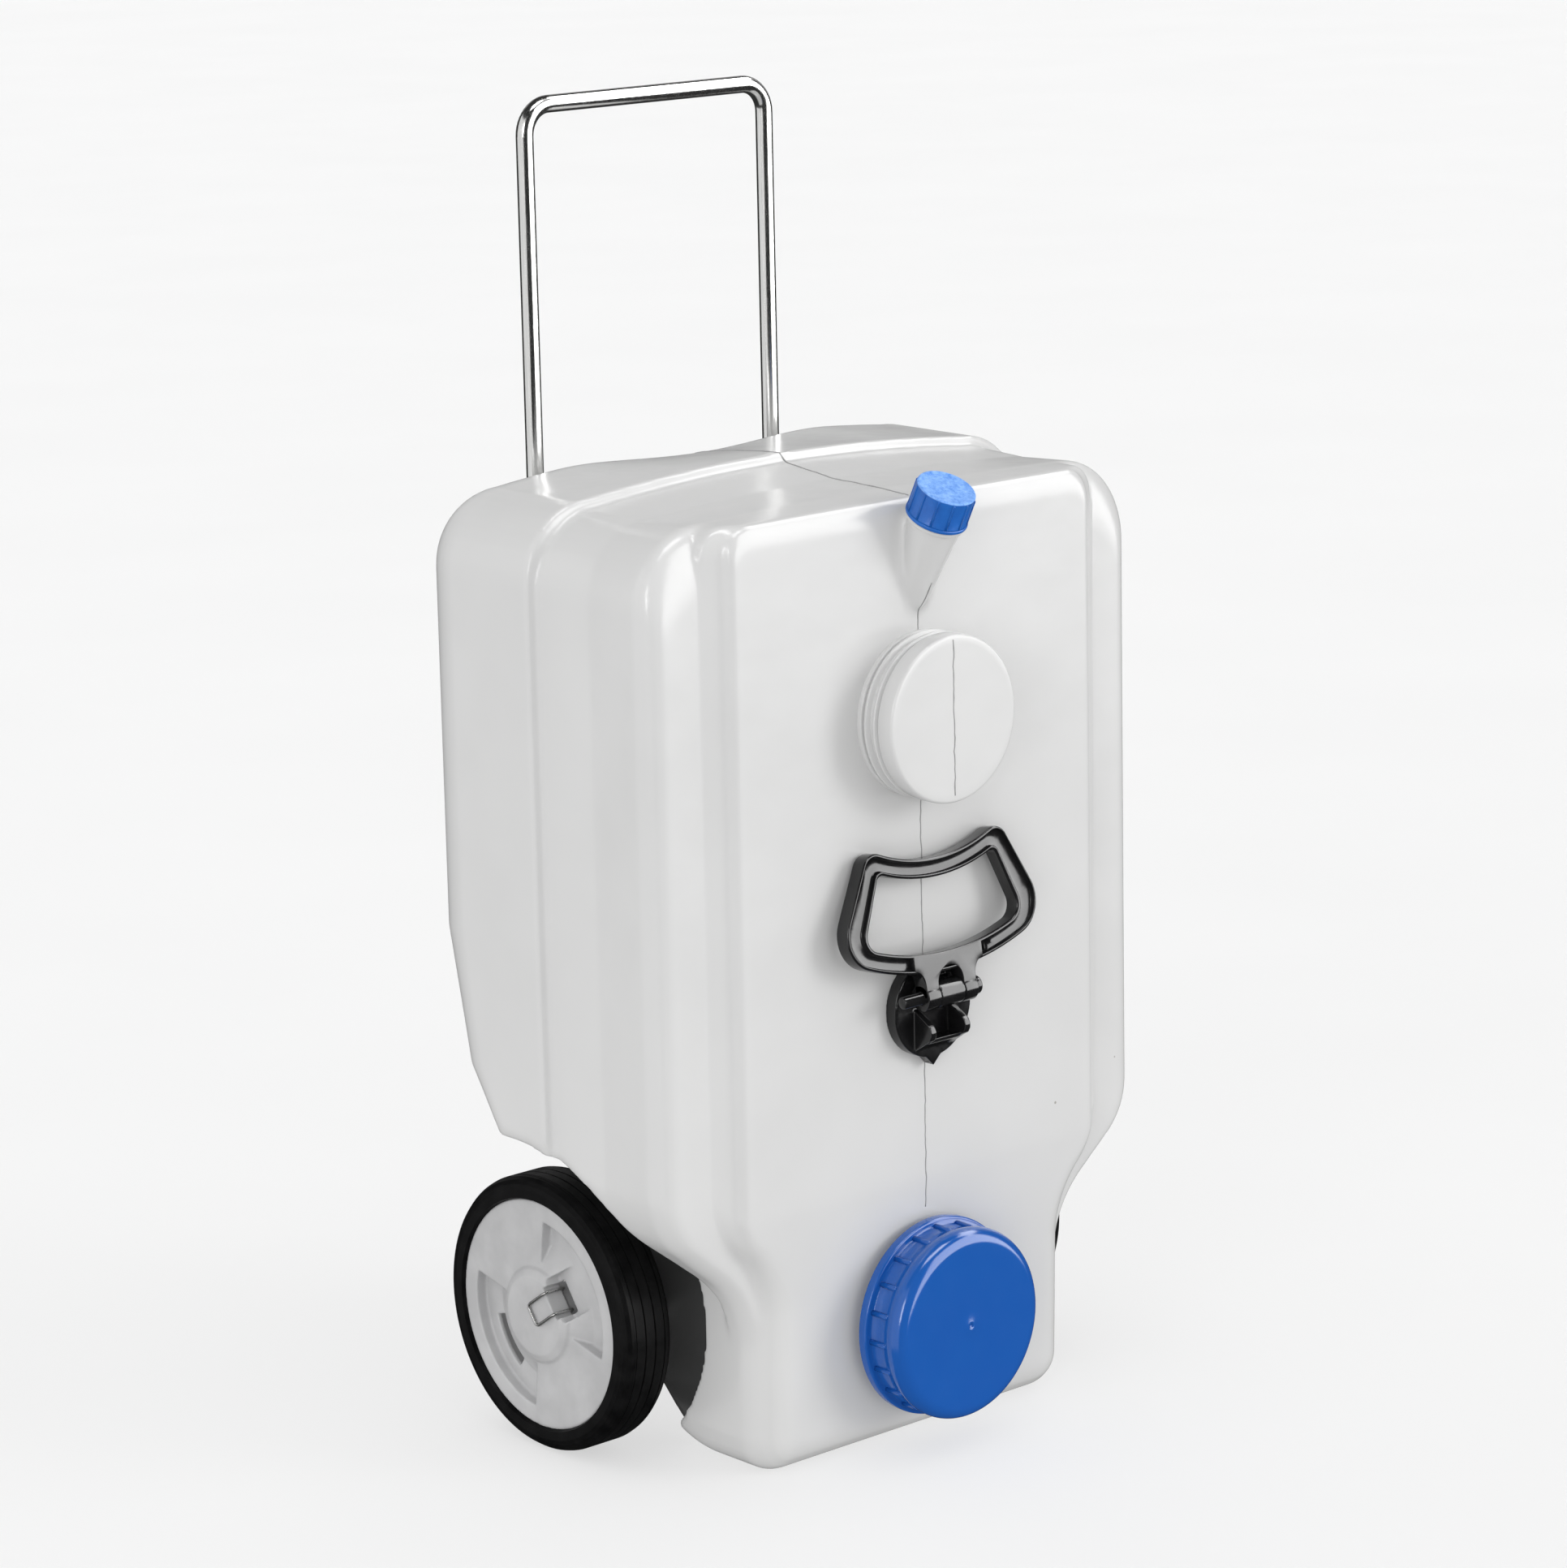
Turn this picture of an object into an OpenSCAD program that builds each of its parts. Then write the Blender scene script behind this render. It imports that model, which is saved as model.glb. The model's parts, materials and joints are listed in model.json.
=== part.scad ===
// Wheeled water tank: a blow-moulded tank on two wheels, with a pull-out bow handle,
// a folding carry loop and two screw caps.
// Each module is written from the front panel's plane (Y = 0), the floor (Z = 0) and the
// middle plane (X = 0). placed() then centres the whole on its footprint.

/* [Tank] */
// Height of the tank's top at the middle
tank_h = 556; // [500:1:600]
// Width of the tank's front half
tank_w = 363; // [340:1:400]
// Depth from the front panel to the back wall
tank_d = 212; // [195:1:240]
// Wall thickness
wall = 3.2; // [2.4:0.1:4]
// Rounding of the top corners, seen from the front
top_r = 43; // [24:1:50]
// Rise of the top from its corners to its middle, behind the step
crown = 8; // [4:0.5:12]
// Depth of the scoop in the back edge of the top
scoop_d = 12; // [4:0.5:14]
// Width of the scoop
scoop_w = 200; // [120:1:240]
// Depth of the shallow valley between the front panel and the step
valley = 2; // [0.5:0.5:3]
// Rounding of the back corners
back_r = 34; // [18:1:40]

/* [Front panel] */
// Width of the raised front panel
panel_w = 272; // [250:1:300]
// Rounding of the panel's side edges, from front to back
panel_edge_r = 6; // [5:0.5:11]
// Rounding of the panel's top edge, in height
panel_top_r = 18; // [10:1:26]
// How far the side ledges lie behind the panel
ledge_set = 12; // [11:0.5:18]
// Width of the slanted wall between panel and ledge
flank_w = 11; // [3:0.5:14]
// Slope of the ledge, front to back
ledge_fall = 1; // [0.5:0.1:2]
// Rounding of the ledge's outer edge
ledge_r = 14; // [8:1:20]

/* [Rear half] */
// Distance from the panel to the step round the tank
rear_set = 108; // [98:1:118]
// Height of the step
rear_step = 4.8; // [2:0.2:6]
// Run of the step, front to back
step_run = 3; // [1.5:0.5:5]
// Forward slope of the back wall at its first kink downwards
upper_slope = 19; // [10:1:26]
// Forward slope of the back wall at its second kink
lower_slope = 46; // [36:1:52]
// Height of the lowest kink above the shelf
low_kink_h = 10; // [6:1:16]
// Height of the second kink above the shelf
mid_kink_h = 44; // [36:1:60]
// Height of the first kink above the shelf
high_kink_h = 121; // [100:1:140]

/* [Lower body] */
// Width of the lower body
lower_w = 238; // [224:1:250]
// Depth of the lower body, from the panel
lower_d = 156; // [150:1:160]
// Height at which the lower body starts to widen
waist_z = 74; // [66:1:84]
// How much higher the front panel's edges start to widen
panel_lift = 24; // [10:1:34]
// Radius of the hollow curve above the waist
waist_r = 60; // [50:1:70]
// Radius of the round curve below the shelf's sides
shelf_r = 45; // [38:1:52]
// Steepest lean of the wall between the two curves
shelf_lean = 50; // [44:1:56]
// Rounding of the bottom's side edges
floor_r = 22; // [14:1:28]
// Rounding of the lower body's front edges
lower_edge_r = 23; // [16:1:26]
// How far the lower body's front lies behind the panel
lower_set = 5; // [2:0.5:8]
// Where the bottom starts to rise, from the panel
rise_set = 60; // [52:1:70]
// Radius of the bottom's rise
rise_r = 60; // [50:1:70]

/* [Wheels] */
// Thickness of the tyre, from the rim to the tread
tyre_t = 13.2; // [9:0.2:15]
// Width of the tyre
tyre_w = 35; // [30:1:38]
// Rounding of the tyre's shoulders
shoulder_r = 7; // [4:0.5:9]
// Depth of the grooves round the tread
tread_groove = 0.8; // [0.4:0.1:1.5]
// Diameter of the rim under the tyre
rim_d = 133.6; // [128:0.2:138]
// Distance of the axle behind the panel
axle_set = 142; // [138:0.5:144]
// Distance of each wheel's middle from the middle plane
wheel_x = 153.5; // [152:0.5:158]
// Radius of the wheel wells
well_r = 107; // [100:1:112]
// Diameter of the axle
axle_d = 12; // [10:0.5:14]
// Thickness of the washers between tank and hub
washer_t = 2.4; // [1.5:0.1:3]
// Diameter of the washers
washer_d = 26; // [22:1:30]
// Diameter of the raised boss on the wheel
boss_d = 54; // [46:1:60]
// How far the boss stands out of the wheel's face
boss_h = 4; // [2:0.5:5]
// Depth of the sunk sectors in the wheel's face
sector_deep = 7; // [4:0.5:8]
// Outer diameter of the sunk sectors
sector_d = 112; // [100:1:118]
// Angle that each sunk sector covers
sector_span = 98; // [70:1:110]
// Direction of the rear sector, from straight up towards the back
sector_turn = 125; // [100:1:150]
// Diameter of the clip's wire
clip_d = 1.8; // [1.4:0.1:2.2]

/* [Large cap] */
// Height of the large neck's axis above the floor
cap_z = 75; // [74:0.5:84]
// Diameter of the neck under its thread
neck_d = 90; // [84:0.5:92]
// Height of the thread's ridge
thread_h = 2.6; // [1.6:0.1:3]
// Pitch of the thread
thread_pitch = 8; // [6:0.5:9]
// Turns of the thread
thread_turns = 1.6; // [1:0.1:1.8]
// Bore of the neck
neck_bore = 80; // [70:1:82]
// Length of the neck from the panel
neck_l = 29; // [26:0.5:34]
// Diameter of the cap's body
cap_d = 110.6; // [108:0.2:118]
// Diameter of the cap's back flange
cap_flange_d = 114.8; // [112:0.2:122]
// Thickness of the cap's flange
cap_flange_t = 6; // [4:0.5:8]
// Depth of the gaps between the grip ribs
grip_deep = 2.2; // [1:0.1:2.4]
// Number of grip ribs
grip_count = 20; // [16:1:30]
// Width of each grip rib
grip_w = 3.4; // [2.6:0.1:5]
// Rounding of the cap's front edge
cap_edge_r = 8; // [5:0.5:10]
// Thickness of the cap's front
cap_front_t = 3.6; // [2.5:0.1:5]
// Thickness of the sealing ring
seal_t = 3; // [2:0.1:4]

/* [Spare neck] */
// Height of the spare neck's axis
spare_z = 423; // [405:1:430]
// Length of the spare neck
spare_l = 28; // [24:1:32]
// Length of its plain end
spare_end_l = 11; // [8:0.5:12]
// Rounding of its front edge
spare_edge_r = 1.8; // [1:0.1:3]

/* [Spout] */
// Lean of the spout forward from upright
spout_lean = 27; // [20:1:32]
// Height at which the spout's axis meets the panel
spout_z = 503; // [495:1:510]
// Distance along the axis from the panel to the small cap's flange
spout_l = 35; // [33:0.5:42]
// Diameter of the spout's neck under its thread
spout_d = 26; // [24:0.5:28]
// Bore of the spout
spout_bore = 20; // [16:0.5:21]
// Radius of the spout's round foot
spout_foot_r = 9; // [7:0.5:11]
// Height of the spout's foot above the point where the axis meets the panel
spout_foot_h = -14; // [-18:1:-10]
// Height of the small cap
small_cap_h = 19.5; // [17:0.5:22]
// Diameter of the small cap's body
small_cap_d = 33.6; // [33:0.2:36]
// Diameter of the small cap's flange
small_flange_d = 38; // [37:0.5:41]
// Thickness of the small cap's flange
small_flange_t = 2; // [1.5:0.1:3]
// Number of ribs on the small cap
small_rib_count = 12; // [8:1:16]
// Height of the small thread's ridge
small_thread_h = 1.2; // [0.8:0.1:1.3]
// Pitch of the small thread
small_pitch = 4; // [3.5:0.5:5]

/* [Pull handle] */
// Diameter of the handle's rod
rod_d = 10; // [8:0.5:11]
// Distance between the legs, middle to middle
handle_w = 179; // [160:1:200]
// Height of the bar's middle when pulled out
handle_h = 751; // [700:1:790]
// Radius of the bends at the rod's middle
bend_r = 17; // [14:1:26]
// Distance of the legs' middles behind the back wall
handle_out = 8; // [7.5:0.5:12]
// Thickness of the guide bars behind the legs' middles
guide_back = 8; // [6:0.5:12]
// Height of the guide bars
guide_h = 26; // [20:1:32]
// Height of the upper guide bar's middle below the tank's top
guide_drop = 54; // [52:1:70]
// Distance between the guide bars, middle to middle
guide_step = 160; // [140:1:170]
// Length of the collars at the legs' ends
stop_l = 12; // [8:1:16]
// Diameter of the collars
stop_d = 14; // [13:0.5:14.5]
// Diameter of the guide screws
screw_d = 5; // [4:0.5:6]
// Length of the guide screws under the head
screw_l = 24; // [22:1:30]
// Distance of the guide screws from the middle plane
screw_x = 57; // [40:1:65]

/* [Carry handle] */
// Height of the hinge pin
hinge_z = 266; // [255:1:275]
// Distance of the hinge pin in front of the panel
hinge_reach = 18; // [17.5:0.5:21]
// Diameter of the hinge pin
pin_d = 7; // [5:0.5:8]
// Length of the hinge pin
pin_l = 66; // [62:1:72]
// Diameter of the pin's head
pin_head_d = 11; // [9:0.5:13]
// Diameter of the knuckles round the pin
knuckle_d = 15; // [13:0.5:15.5]
// Width of the base's middle knuckle
knuckle_w = 18; // [15:0.5:20]
// Width of each lug of the loop
lug_w = 9.6; // [8:0.2:11]
// Thickness of the loop
loop_t = 10; // [8:0.5:10.5]
// Lean of the loop at rest, its top towards the panel
loop_lean = 8.5; // [7:0.25:9]
// Distance from the pin to the middle of the loop's arcs
loop_rise = 184; // [178:1:190]
// Radius of the loop's upper edge
loop_upper_r = 107; // [104:1:110]
// Radius of the loop's lower edge
loop_lower_r = 171; // [166:1:173]
// Half angle that the loop covers
loop_half_angle = 27.8; // [25:0.2:29]
// Width of the loop's band
loop_band = 11; // [9:0.5:13]
// Rounding of the loop's lower corners
loop_corner_r = 20; // [18:0.5:24]
// Rounding of the loop's upper corners
loop_top_r = 10; // [9:0.5:14]
// Depth of the channel in the loop's face
channel_deep = 3.5; // [2:0.5:4.5]
// Width of the rims beside the channel
channel_rim = 2.6; // [2:0.2:3.4]
// Diameter of the base's disc
base_d = 58; // [52:1:64]
// Thickness of the base's disc
base_t = 8; // [7:0.5:9]
// Height of the disc's middle below the pin
base_drop = 10; // [6:1:14]

/* [Hidden] */
// Running clearance round a shaft, on the radius
run_gap = 0.08;
// Gap between moving curved faces
move_gap = 0.4;
// Gap between pieces that are seated on each other
seat_gap = 0.05;
// Overrun of every cut
over = 1;
// How deep one form is sunk into the next to join it
sink = 0.8;
// Smallest rounding that is left after an inset
small_r = 1;
// Fineness of round forms
$fn = 48;

// Shares of the points along the tank's curves
quarter_shares = [0, 0.25, 0.5, 0.75, 1];
bend_shares = [0, 0.33, 0.67, 1];
top_shares = [0.84, 0.67, 0.5, 0.34, 0.17, 0];
// Shares of the way from the ledge to the step at which the bottom is followed
rise_shares = [0, 0.3, 0.5, 0.65, 0.8, 1];
// Shares of the straight rear half
rear_shares = [0, 0.5, 1];

// Tank
tank_half = tank_w / 2;
panel_half = panel_w / 2;
lower_half = lower_w / 2;
edge_r = min(panel_edge_r, ledge_set - over);
ledge_end = ledge_set + ledge_fall + ledge_r;
sway_r = shelf_r + waist_r;
floor_min = 2 * small_r;
rear_lower_in_share = 0.4;
rear_floor_in_share = 0.15;
rise_lean = 45;

// Wheels
tyre_d = rim_d + 2 * tyre_t;
axle_z = tyre_d / 2;
tyre_r = tyre_d / 2;
rim_r = rim_d / 2;
axle_r = axle_d / 2;
tube_r = axle_r + run_gap + wall;
washer_r = washer_d / 2;
boss_r = boss_d / 2;
face_set_share = 0.89;
wheel_face = tyre_w / 2 * face_set_share;
barrel_t = 5;
floor_t = 3;
hub_r = 14;
hub_end = wheel_x - lower_half - washer_t - 3 * seat_gap;
axle_end_cover = 3.5;
axle_half = wheel_x + wheel_face + boss_h - axle_end_cover;
clip_r = clip_d / 2;
clip_bend_share = 1.6;
clip_bend = clip_d * clip_bend_share;
clip_slot_z = wheel_face - sector_deep - floor_t;
clip_groove_share = 0.4;
clip_groove_r = axle_r - clip_d * clip_groove_share;
clip_turn = sector_turn - 180;
clip_lug = 8;
clip_set = 7;
clip_out_r = boss_r - clip_set;
clip_face_z = wheel_face + boss_h + clip_r + move_gap;
clip_tail = 14;
clip_return = 16;
clip_in_r = clip_out_r - clip_return;
notch_half = 13.5;
tread_groove_w = 1.2;
tread_groove_shares = [-0.3, -0.1, 0.1, 0.3];
slot_span = 40;
slot_w = 7;
slope_share = 0.73;
slope_r = sector_d / 2 * slope_share;

// Large cap and neck
neck_r = neck_d / 2;
crest_r = neck_r + thread_h;
cap_bore_r = crest_r + move_gap;
cap_thread_r = neck_r + move_gap;
root_share = 0.4;
crest_share = 0.18;
ridge_root_w = thread_pitch * root_share;
ridge_crest_w = thread_pitch * crest_share;
ridge_sink = 1;
ridge_steps = 30;
cap_turn_share = 0.8;
neck_foot_t = 3;
foot_step_share = 0.6;
neck_foot_r = neck_r + thread_h * foot_step_share;
neck_root = lower_set + wall + sink;
thread_start = 8;
cap_reach = neck_l + seal_t + cap_front_t;
cap_back_gap = 1;
cap_back = neck_foot_t + cap_back_gap;
cap_l = cap_reach - cap_back;
seal_edge = 1;
seal_in_r = neck_bore / 2 + seal_edge;
seal_out_r = neck_r + seal_edge;
spare_ridge_shares = [0.5, 1.5];

// Spout and small cap
spout_r = spout_d / 2;
small_crest_r = spout_r + small_thread_h;
small_bore_r = small_crest_r + move_gap;
small_front_t = 2.4;
small_seal_t = 2;
small_thread_turns = 1.5;
small_thread_start = 3;
small_neck_l = small_cap_h - small_front_t - small_seal_t - 2 * seat_gap;
small_root_w = small_pitch * root_share;
small_crest_w = small_pitch * crest_share;
small_sink = 0.6;
small_rib_w = 1.2;
small_rib_h = 0.7;
small_edge_r = 1.2;
spout_shoulder_w = 2.5;
spout_shoulder_r = spout_r + spout_shoulder_w;
foot_sink_share = 0.4;
shoulder_set = 2;
cone_fn = 40;
ball_fn = 32;

// Pull handle
handle_set = tank_d + handle_out;
rod_r = rod_d / 2;
leg_x = handle_w / 2;
stop_gap = 0.4;
guide_top_z = tank_h - guide_drop;
guide_low_z = guide_top_z - guide_step;
leg_end_z = guide_low_z - guide_h / 2 - stop_gap - stop_l;
leg_l = handle_h - leg_end_z;
guide_w = handle_w + 2 * stop_d;
screw_r = screw_d / 2;
screw_head_share = 0.95;
screw_head_t_share = 0.6;
screw_boss_share = 1.5;
screw_cross_share = 0.2;
screw_head_r = screw_d * screw_head_share;
screw_head_t = screw_d * screw_head_t_share;
screw_boss_r = screw_d * screw_boss_share;
screw_cross_w = screw_d * screw_cross_share;
screw_boss_end = 4;
screw_boss_l = screw_l - guide_back - handle_out + screw_boss_end;

// Carry handle
pin_r = pin_d / 2;
knuckle_r = knuckle_d / 2;
lug_in = knuckle_w / 2 + move_gap;
lug_out = lug_in + lug_w;
loop_front_set = 1.5;
loop_front = knuckle_r - loop_front_set;
loop_back = loop_front - loop_t;
base_r = base_d / 2;
stud_r = 12;
stud_h = 5;
pin_head_t = 5;
cheek_x = 13;
cheek_t = 4;
cheek_r = 6;
cheek_reach = 22.5;
cheek_top = 9;
cheek_drop = 21;
cheek_foot = 34;
cheek_back = base_t - sink;
cheek_turns = [60, 35, 10, -15, -45, -75];
web_drop = 26;
notch_r = lug_in;
notch_rise = 6.6;
lug_flare = 8;
lug_flare_h = 7;
foot_w = 22;
foot_drop = 33;
channel_gap_side = 7;
channel_gap_w = 2 * (lug_out + channel_gap_side);
loop_steps = 6;

// Where the whole sits
small_top_l = spout_l + small_cap_h;
small_reach = max(
    (small_top_l - small_edge_r) * sin(spout_lean) + small_cap_d / 2 * cos(spout_lean),
    (small_top_l - 2 * small_edge_r) * sin(spout_lean) + (small_cap_d / 2 + small_rib_h) * cos(spout_lean)
);
panel_y = (max(cap_reach, small_reach) - handle_set - guide_back) / 2;

module placed() {
    translate([0, panel_y, 0]) children();
}

// Frames: z points out of the large neck, the spare neck, the spout, or a wheel's outer face
module on_panel(z) {
    translate([0, 0, z]) rotate([90, 0, 0]) children();
}

module on_spout() {
    translate([0, 0, spout_z]) rotate([spout_lean, 0, 0]) translate([0, 0, spout_l]) children();
}

module on_wheel(side) {
    translate([side * wheel_x, axle_set, axle_z]) rotate([0, 0, side < 0 ? 0 : 180]) rotate([0, -90, 0])
        children();
}

module on_hinge() {
    translate([0, -hinge_reach, hinge_z]) children();
}

// Tank skin: rows of outlines, front to back
// A row: distance from the panel, half width, insets at side, lower side, top and bottom, rear share,
// lift of the waist
function sway(wide) = min(shelf_lean, acos(1 - max(wide - lower_half, small_r) / sway_r));
function sway_run(wide) =
    max(wide - lower_half - sway_r * (1 - cos(sway(wide))), 0) / sin(sway(wide));
function shelf_z(wide) = waist_z + sway_r * sin(sway(wide)) + sway_run(wide) * cos(sway(wide));
rear_shelf_z = shelf_z(tank_half + rear_step);
panel_shelf_z = shelf_z(panel_half) + panel_lift;
kink_zs = [rear_shelf_z + low_kink_h, rear_shelf_z + mid_kink_h, rear_shelf_z + high_kink_h];

function back_y(z) = lookup(z, [
    [rear_shelf_z - shelf_r, lower_d], [kink_zs[0], tank_d - lower_slope],
    [kink_zs[1], tank_d - upper_slope], [kink_zs[2], tank_d]
]);
// How far a height counts as lower body, seen on the front
function lowness(z) = lookup(z, [[waist_z - lower_edge_r, 1], [panel_shelf_z, 0]]);
function row_y(y, z) =
    y < ledge_end ? y + lower_set * (1 - y / ledge_end) * lowness(z)
    : y <= rear_set ? y
    : rear_set + (y - rear_set) * (back_y(z) - rear_set) / (tank_d - rear_set);
// Inset of a rounded front edge of the lower body
function low_edge(y) =
    let (left = max(lower_edge_r + lower_set - row_y(y, 0), 0))
    lower_edge_r - sqrt(max(lower_edge_r * lower_edge_r - left * left, 0));
function skin_y(y, z, inset) = inset + row_y(y, z) * (1 - 2 * inset / back_y(z));

function rise_z(run) =
    run <= 0 ? 0
    : run < rise_r * sin(rise_lean) ? rise_r - sqrt(rise_r * rise_r - run * run)
    : rise_r * (1 - cos(rise_lean)) + (run - rise_r * sin(rise_lean)) * tan(rise_lean);
function crown_at(y) = crown * min(y / rear_set, 1);
function scoop(y, x, rear) =
    rear * scoop_d * pow(max(y - rear_set, 0) / (tank_d - rear_set), 1.5)
    * pow(max(1 - pow(2 * x / scoop_w, 2), 0), 2);

panel_rows = [for (s = quarter_shares) let (a = 90 * s) [
    edge_r * (1 - cos(a)), panel_half, edge_r * (1 - sin(a)), low_edge(edge_r * (1 - cos(a))),
    panel_top_r * (1 - sin(a)), low_edge(edge_r * (1 - cos(a))), 0, panel_lift
]];
ledge_rows = concat(
    [[ledge_set, panel_half + flank_w, 0, low_edge(ledge_set), 0, low_edge(ledge_set), 0, panel_lift]],
    [for (s = quarter_shares) let (a = 90 * s, y = ledge_set + ledge_fall + ledge_r * (1 - cos(a))) [
        y, tank_half, ledge_r * (1 - sin(a)), low_edge(y), 0, low_edge(y), 0, 0
    ]]
);
mid_rows = [for (s = rise_shares) if (s > 0) let (dip = valley * (1 - abs(2 * s - 1))) [
    ledge_end + (rear_set - ledge_end) * s, tank_half, dip, 0, dip, 0, 0, 0
]];
rear_start = rear_set + step_run;
rear_rows = [for (s = rear_shares) [
    rear_start + (tank_d - back_r - rear_start) * s, tank_half + rear_step, 0, 0, 0, 0, 1, 0
]];
back_rows = [for (s = quarter_shares) if (s > 0) let (a = 90 * s, in = back_r * (1 - cos(a))) [
    tank_d - back_r * (1 - sin(a)), tank_half + rear_step,
    in, in * rear_lower_in_share, in, in * rear_floor_in_share, 1, 0
]];
skin_rows = concat(panel_rows, ledge_rows, mid_rows, rear_rows, back_rows);

// Right half of one outline, from the bottom's middle to the top's middle
function half_outline(row, inset) =
    let (
        y = row[0], wide = row[1], rear = row[6],
        side_in = row[2] + inset, low_in = row[3] + inset,
        lean = sway(wide),
        waist = waist_z + row[7],
        shelf = shelf_z(wide) + row[7],
        rise = rear > 0 ? crown : crown_at(y),
        roof = tank_h - crown - rear_step * (1 - rear) - row[4] - inset,
        ground = min(rise_z(row_y(y, waist_z) - rise_set) + row[5] + inset, waist_z - floor_min),
        low_x = lower_half - low_in,
        low_r = min(max(floor_r - low_in, small_r), (waist_z - ground) / 2),
        side_x = wide - side_in,
        corner_r = max(top_r - side_in, small_r),
        corner_x = side_x - corner_r
    )
    concat(
        [[0, ground]],
        [for (s = bend_shares) [low_x - low_r * (1 - sin(90 * s)), ground + low_r * (1 - cos(90 * s))]],
        [for (s = bend_shares) let (in = low_in + (side_in - low_in) * s / 2) [
            lower_half + waist_r - (waist_r + in) * cos(lean * s), waist + (waist_r + in) * sin(lean * s)
        ]],
        [for (s = bend_shares)
            let (in = side_in + (low_in - side_in) * (1 - s) / 2, r = max(shelf_r - in, small_r)) [
                wide - in - r * (1 - cos(lean * (1 - s))), shelf - r * sin(lean * (1 - s))
            ]],
        [for (z = kink_zs) [side_x, z]],
        [for (s = quarter_shares) [corner_x + corner_r * cos(90 * s), roof - corner_r * (1 - sin(90 * s))]],
        [for (s = top_shares) [corner_x * s, roof + rise * (1 - s * s) - scoop(y, corner_x * s, rear)]]
    );

half_count = len(half_outline(skin_rows[0], 0));
ring_count = 2 * half_count - 2;

function ring_points(row, inset) =
    let (half = half_outline(row, inset))
    let (ring = concat(half, [for (i = [half_count - 2 : -1 : 1]) [-half[i][0], half[i][1]]]))
    [for (p = ring) [p[0], skin_y(row[0], p[1], inset), p[1]]];

// The mirror point of a ring's point
function across(i) = (ring_count - i) % ring_count;
function cap_faces(first, flip) = [
    for (i = [0 : half_count - 2])
        for (f = [[i, across(i), across(i + 1)], [i, across(i + 1), i + 1]])
            if (f[0] != f[1] && f[1] != f[2] && f[2] != f[0])
                [for (k = flip ? [0, 2, 1] : [0, 1, 2]) first + f[k]]
];
function wall_faces(rows) = [
    for (r = [0 : rows - 2])
        for (i = [0 : ring_count - 1])
            let (a = r * ring_count + i, b = r * ring_count + (i + 1) % ring_count)
                for (f = [[a, b, b + ring_count], [a, b + ring_count, a + ring_count]]) f
];

module skin_body(inset) {
    rows = len(skin_rows);
    polyhedron(
        points = [for (row = skin_rows) each ring_points(row, inset)],
        faces = concat(
            cap_faces(0, false), wall_faces(rows), cap_faces((rows - 1) * ring_count, true)
        )
    );
}

module wheel_wells(inset) {
    for (side = [-1, 1])
        translate([side * (lower_half - inset), axle_set, axle_z])
            rotate([0, side * 90, 0]) cylinder(r = well_r + inset, h = tank_half);
}

module skin(inset) {
    difference() {
        skin_body(inset);
        wheel_wells(inset);
    }
}

// The spout: a cone that grows out of the panel, up to its neck
module spout(inset) {
    foot = [0, spout_foot_r * foot_sink_share, spout_z + spout_foot_h];
    head = [0, -spout_l * sin(spout_lean), spout_z + spout_l * cos(spout_lean)];
    run = head - foot;
    difference() {
        union() {
            translate(foot) rotate([atan2(-run[1], run[2]), 0, 0]) cylinder(
                r1 = spout_foot_r - inset, r2 = spout_shoulder_r - inset,
                h = norm(run) - shoulder_set - inset, $fn = cone_fn
            );
            translate(foot) sphere(r = spout_foot_r - inset, $fn = ball_fn);
        }
        translate([-tank_half, wall + inset, 0]) cube([tank_w, tank_d, tank_h]);
    }
}

// The blow-moulded skin with its inside: free-form all over, so it is made as one mesh
module skin_shell() {
    resize([0, 0, 0]) difference() {
        union() {
            skin(0);
            spout(0);
        }
        skin(wall);
        spout(wall);
        // A first hole through the panel, which the large neck's bore takes in later
        on_panel(cap_z) translate([0, 0, -neck_root - over])
            cylinder(d = neck_bore / 2, h = neck_root + 2 * over);
    }
}

// A ridge that winds up along z, between two radii, each with its own width
module helix_ridge(in_r, in_w, out_r, out_w, pitch, turns) {
    steps = ceil(turns * ridge_steps);
    section = [[in_r, -in_w / 2], [out_r, -out_w / 2], [out_r, out_w / 2], [in_r, in_w / 2]];
    points = [for (k = [0 : steps]) let (a = 360 * turns * k / steps) for (p = section)
        [p[0] * cos(a), p[0] * sin(a), p[1] + pitch * a / 360]];
    sides = [for (k = [0 : steps - 1]) for (i = [0 : 3])
        let (a = 4 * k + i, b = 4 * k + (i + 1) % 4)
            for (f = [[a, b, b + 4], [a, b + 4, a + 4]]) f];
    polyhedron(points = points, faces = concat([[3, 2, 1, 0]], sides, [[for (i = [0 : 3]) 4 * steps + i]]));
}

module large_neck() {
    foot_root = lower_set + sink;
    translate([0, 0, -neck_root]) cylinder(r = neck_r, h = neck_l + neck_root);
    translate([0, 0, -foot_root]) cylinder(r = neck_foot_r, h = neck_foot_t + foot_root);
    translate([0, 0, thread_start])
        helix_ridge(neck_r - ridge_sink, ridge_root_w, crest_r, ridge_crest_w, thread_pitch, thread_turns);
}

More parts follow.
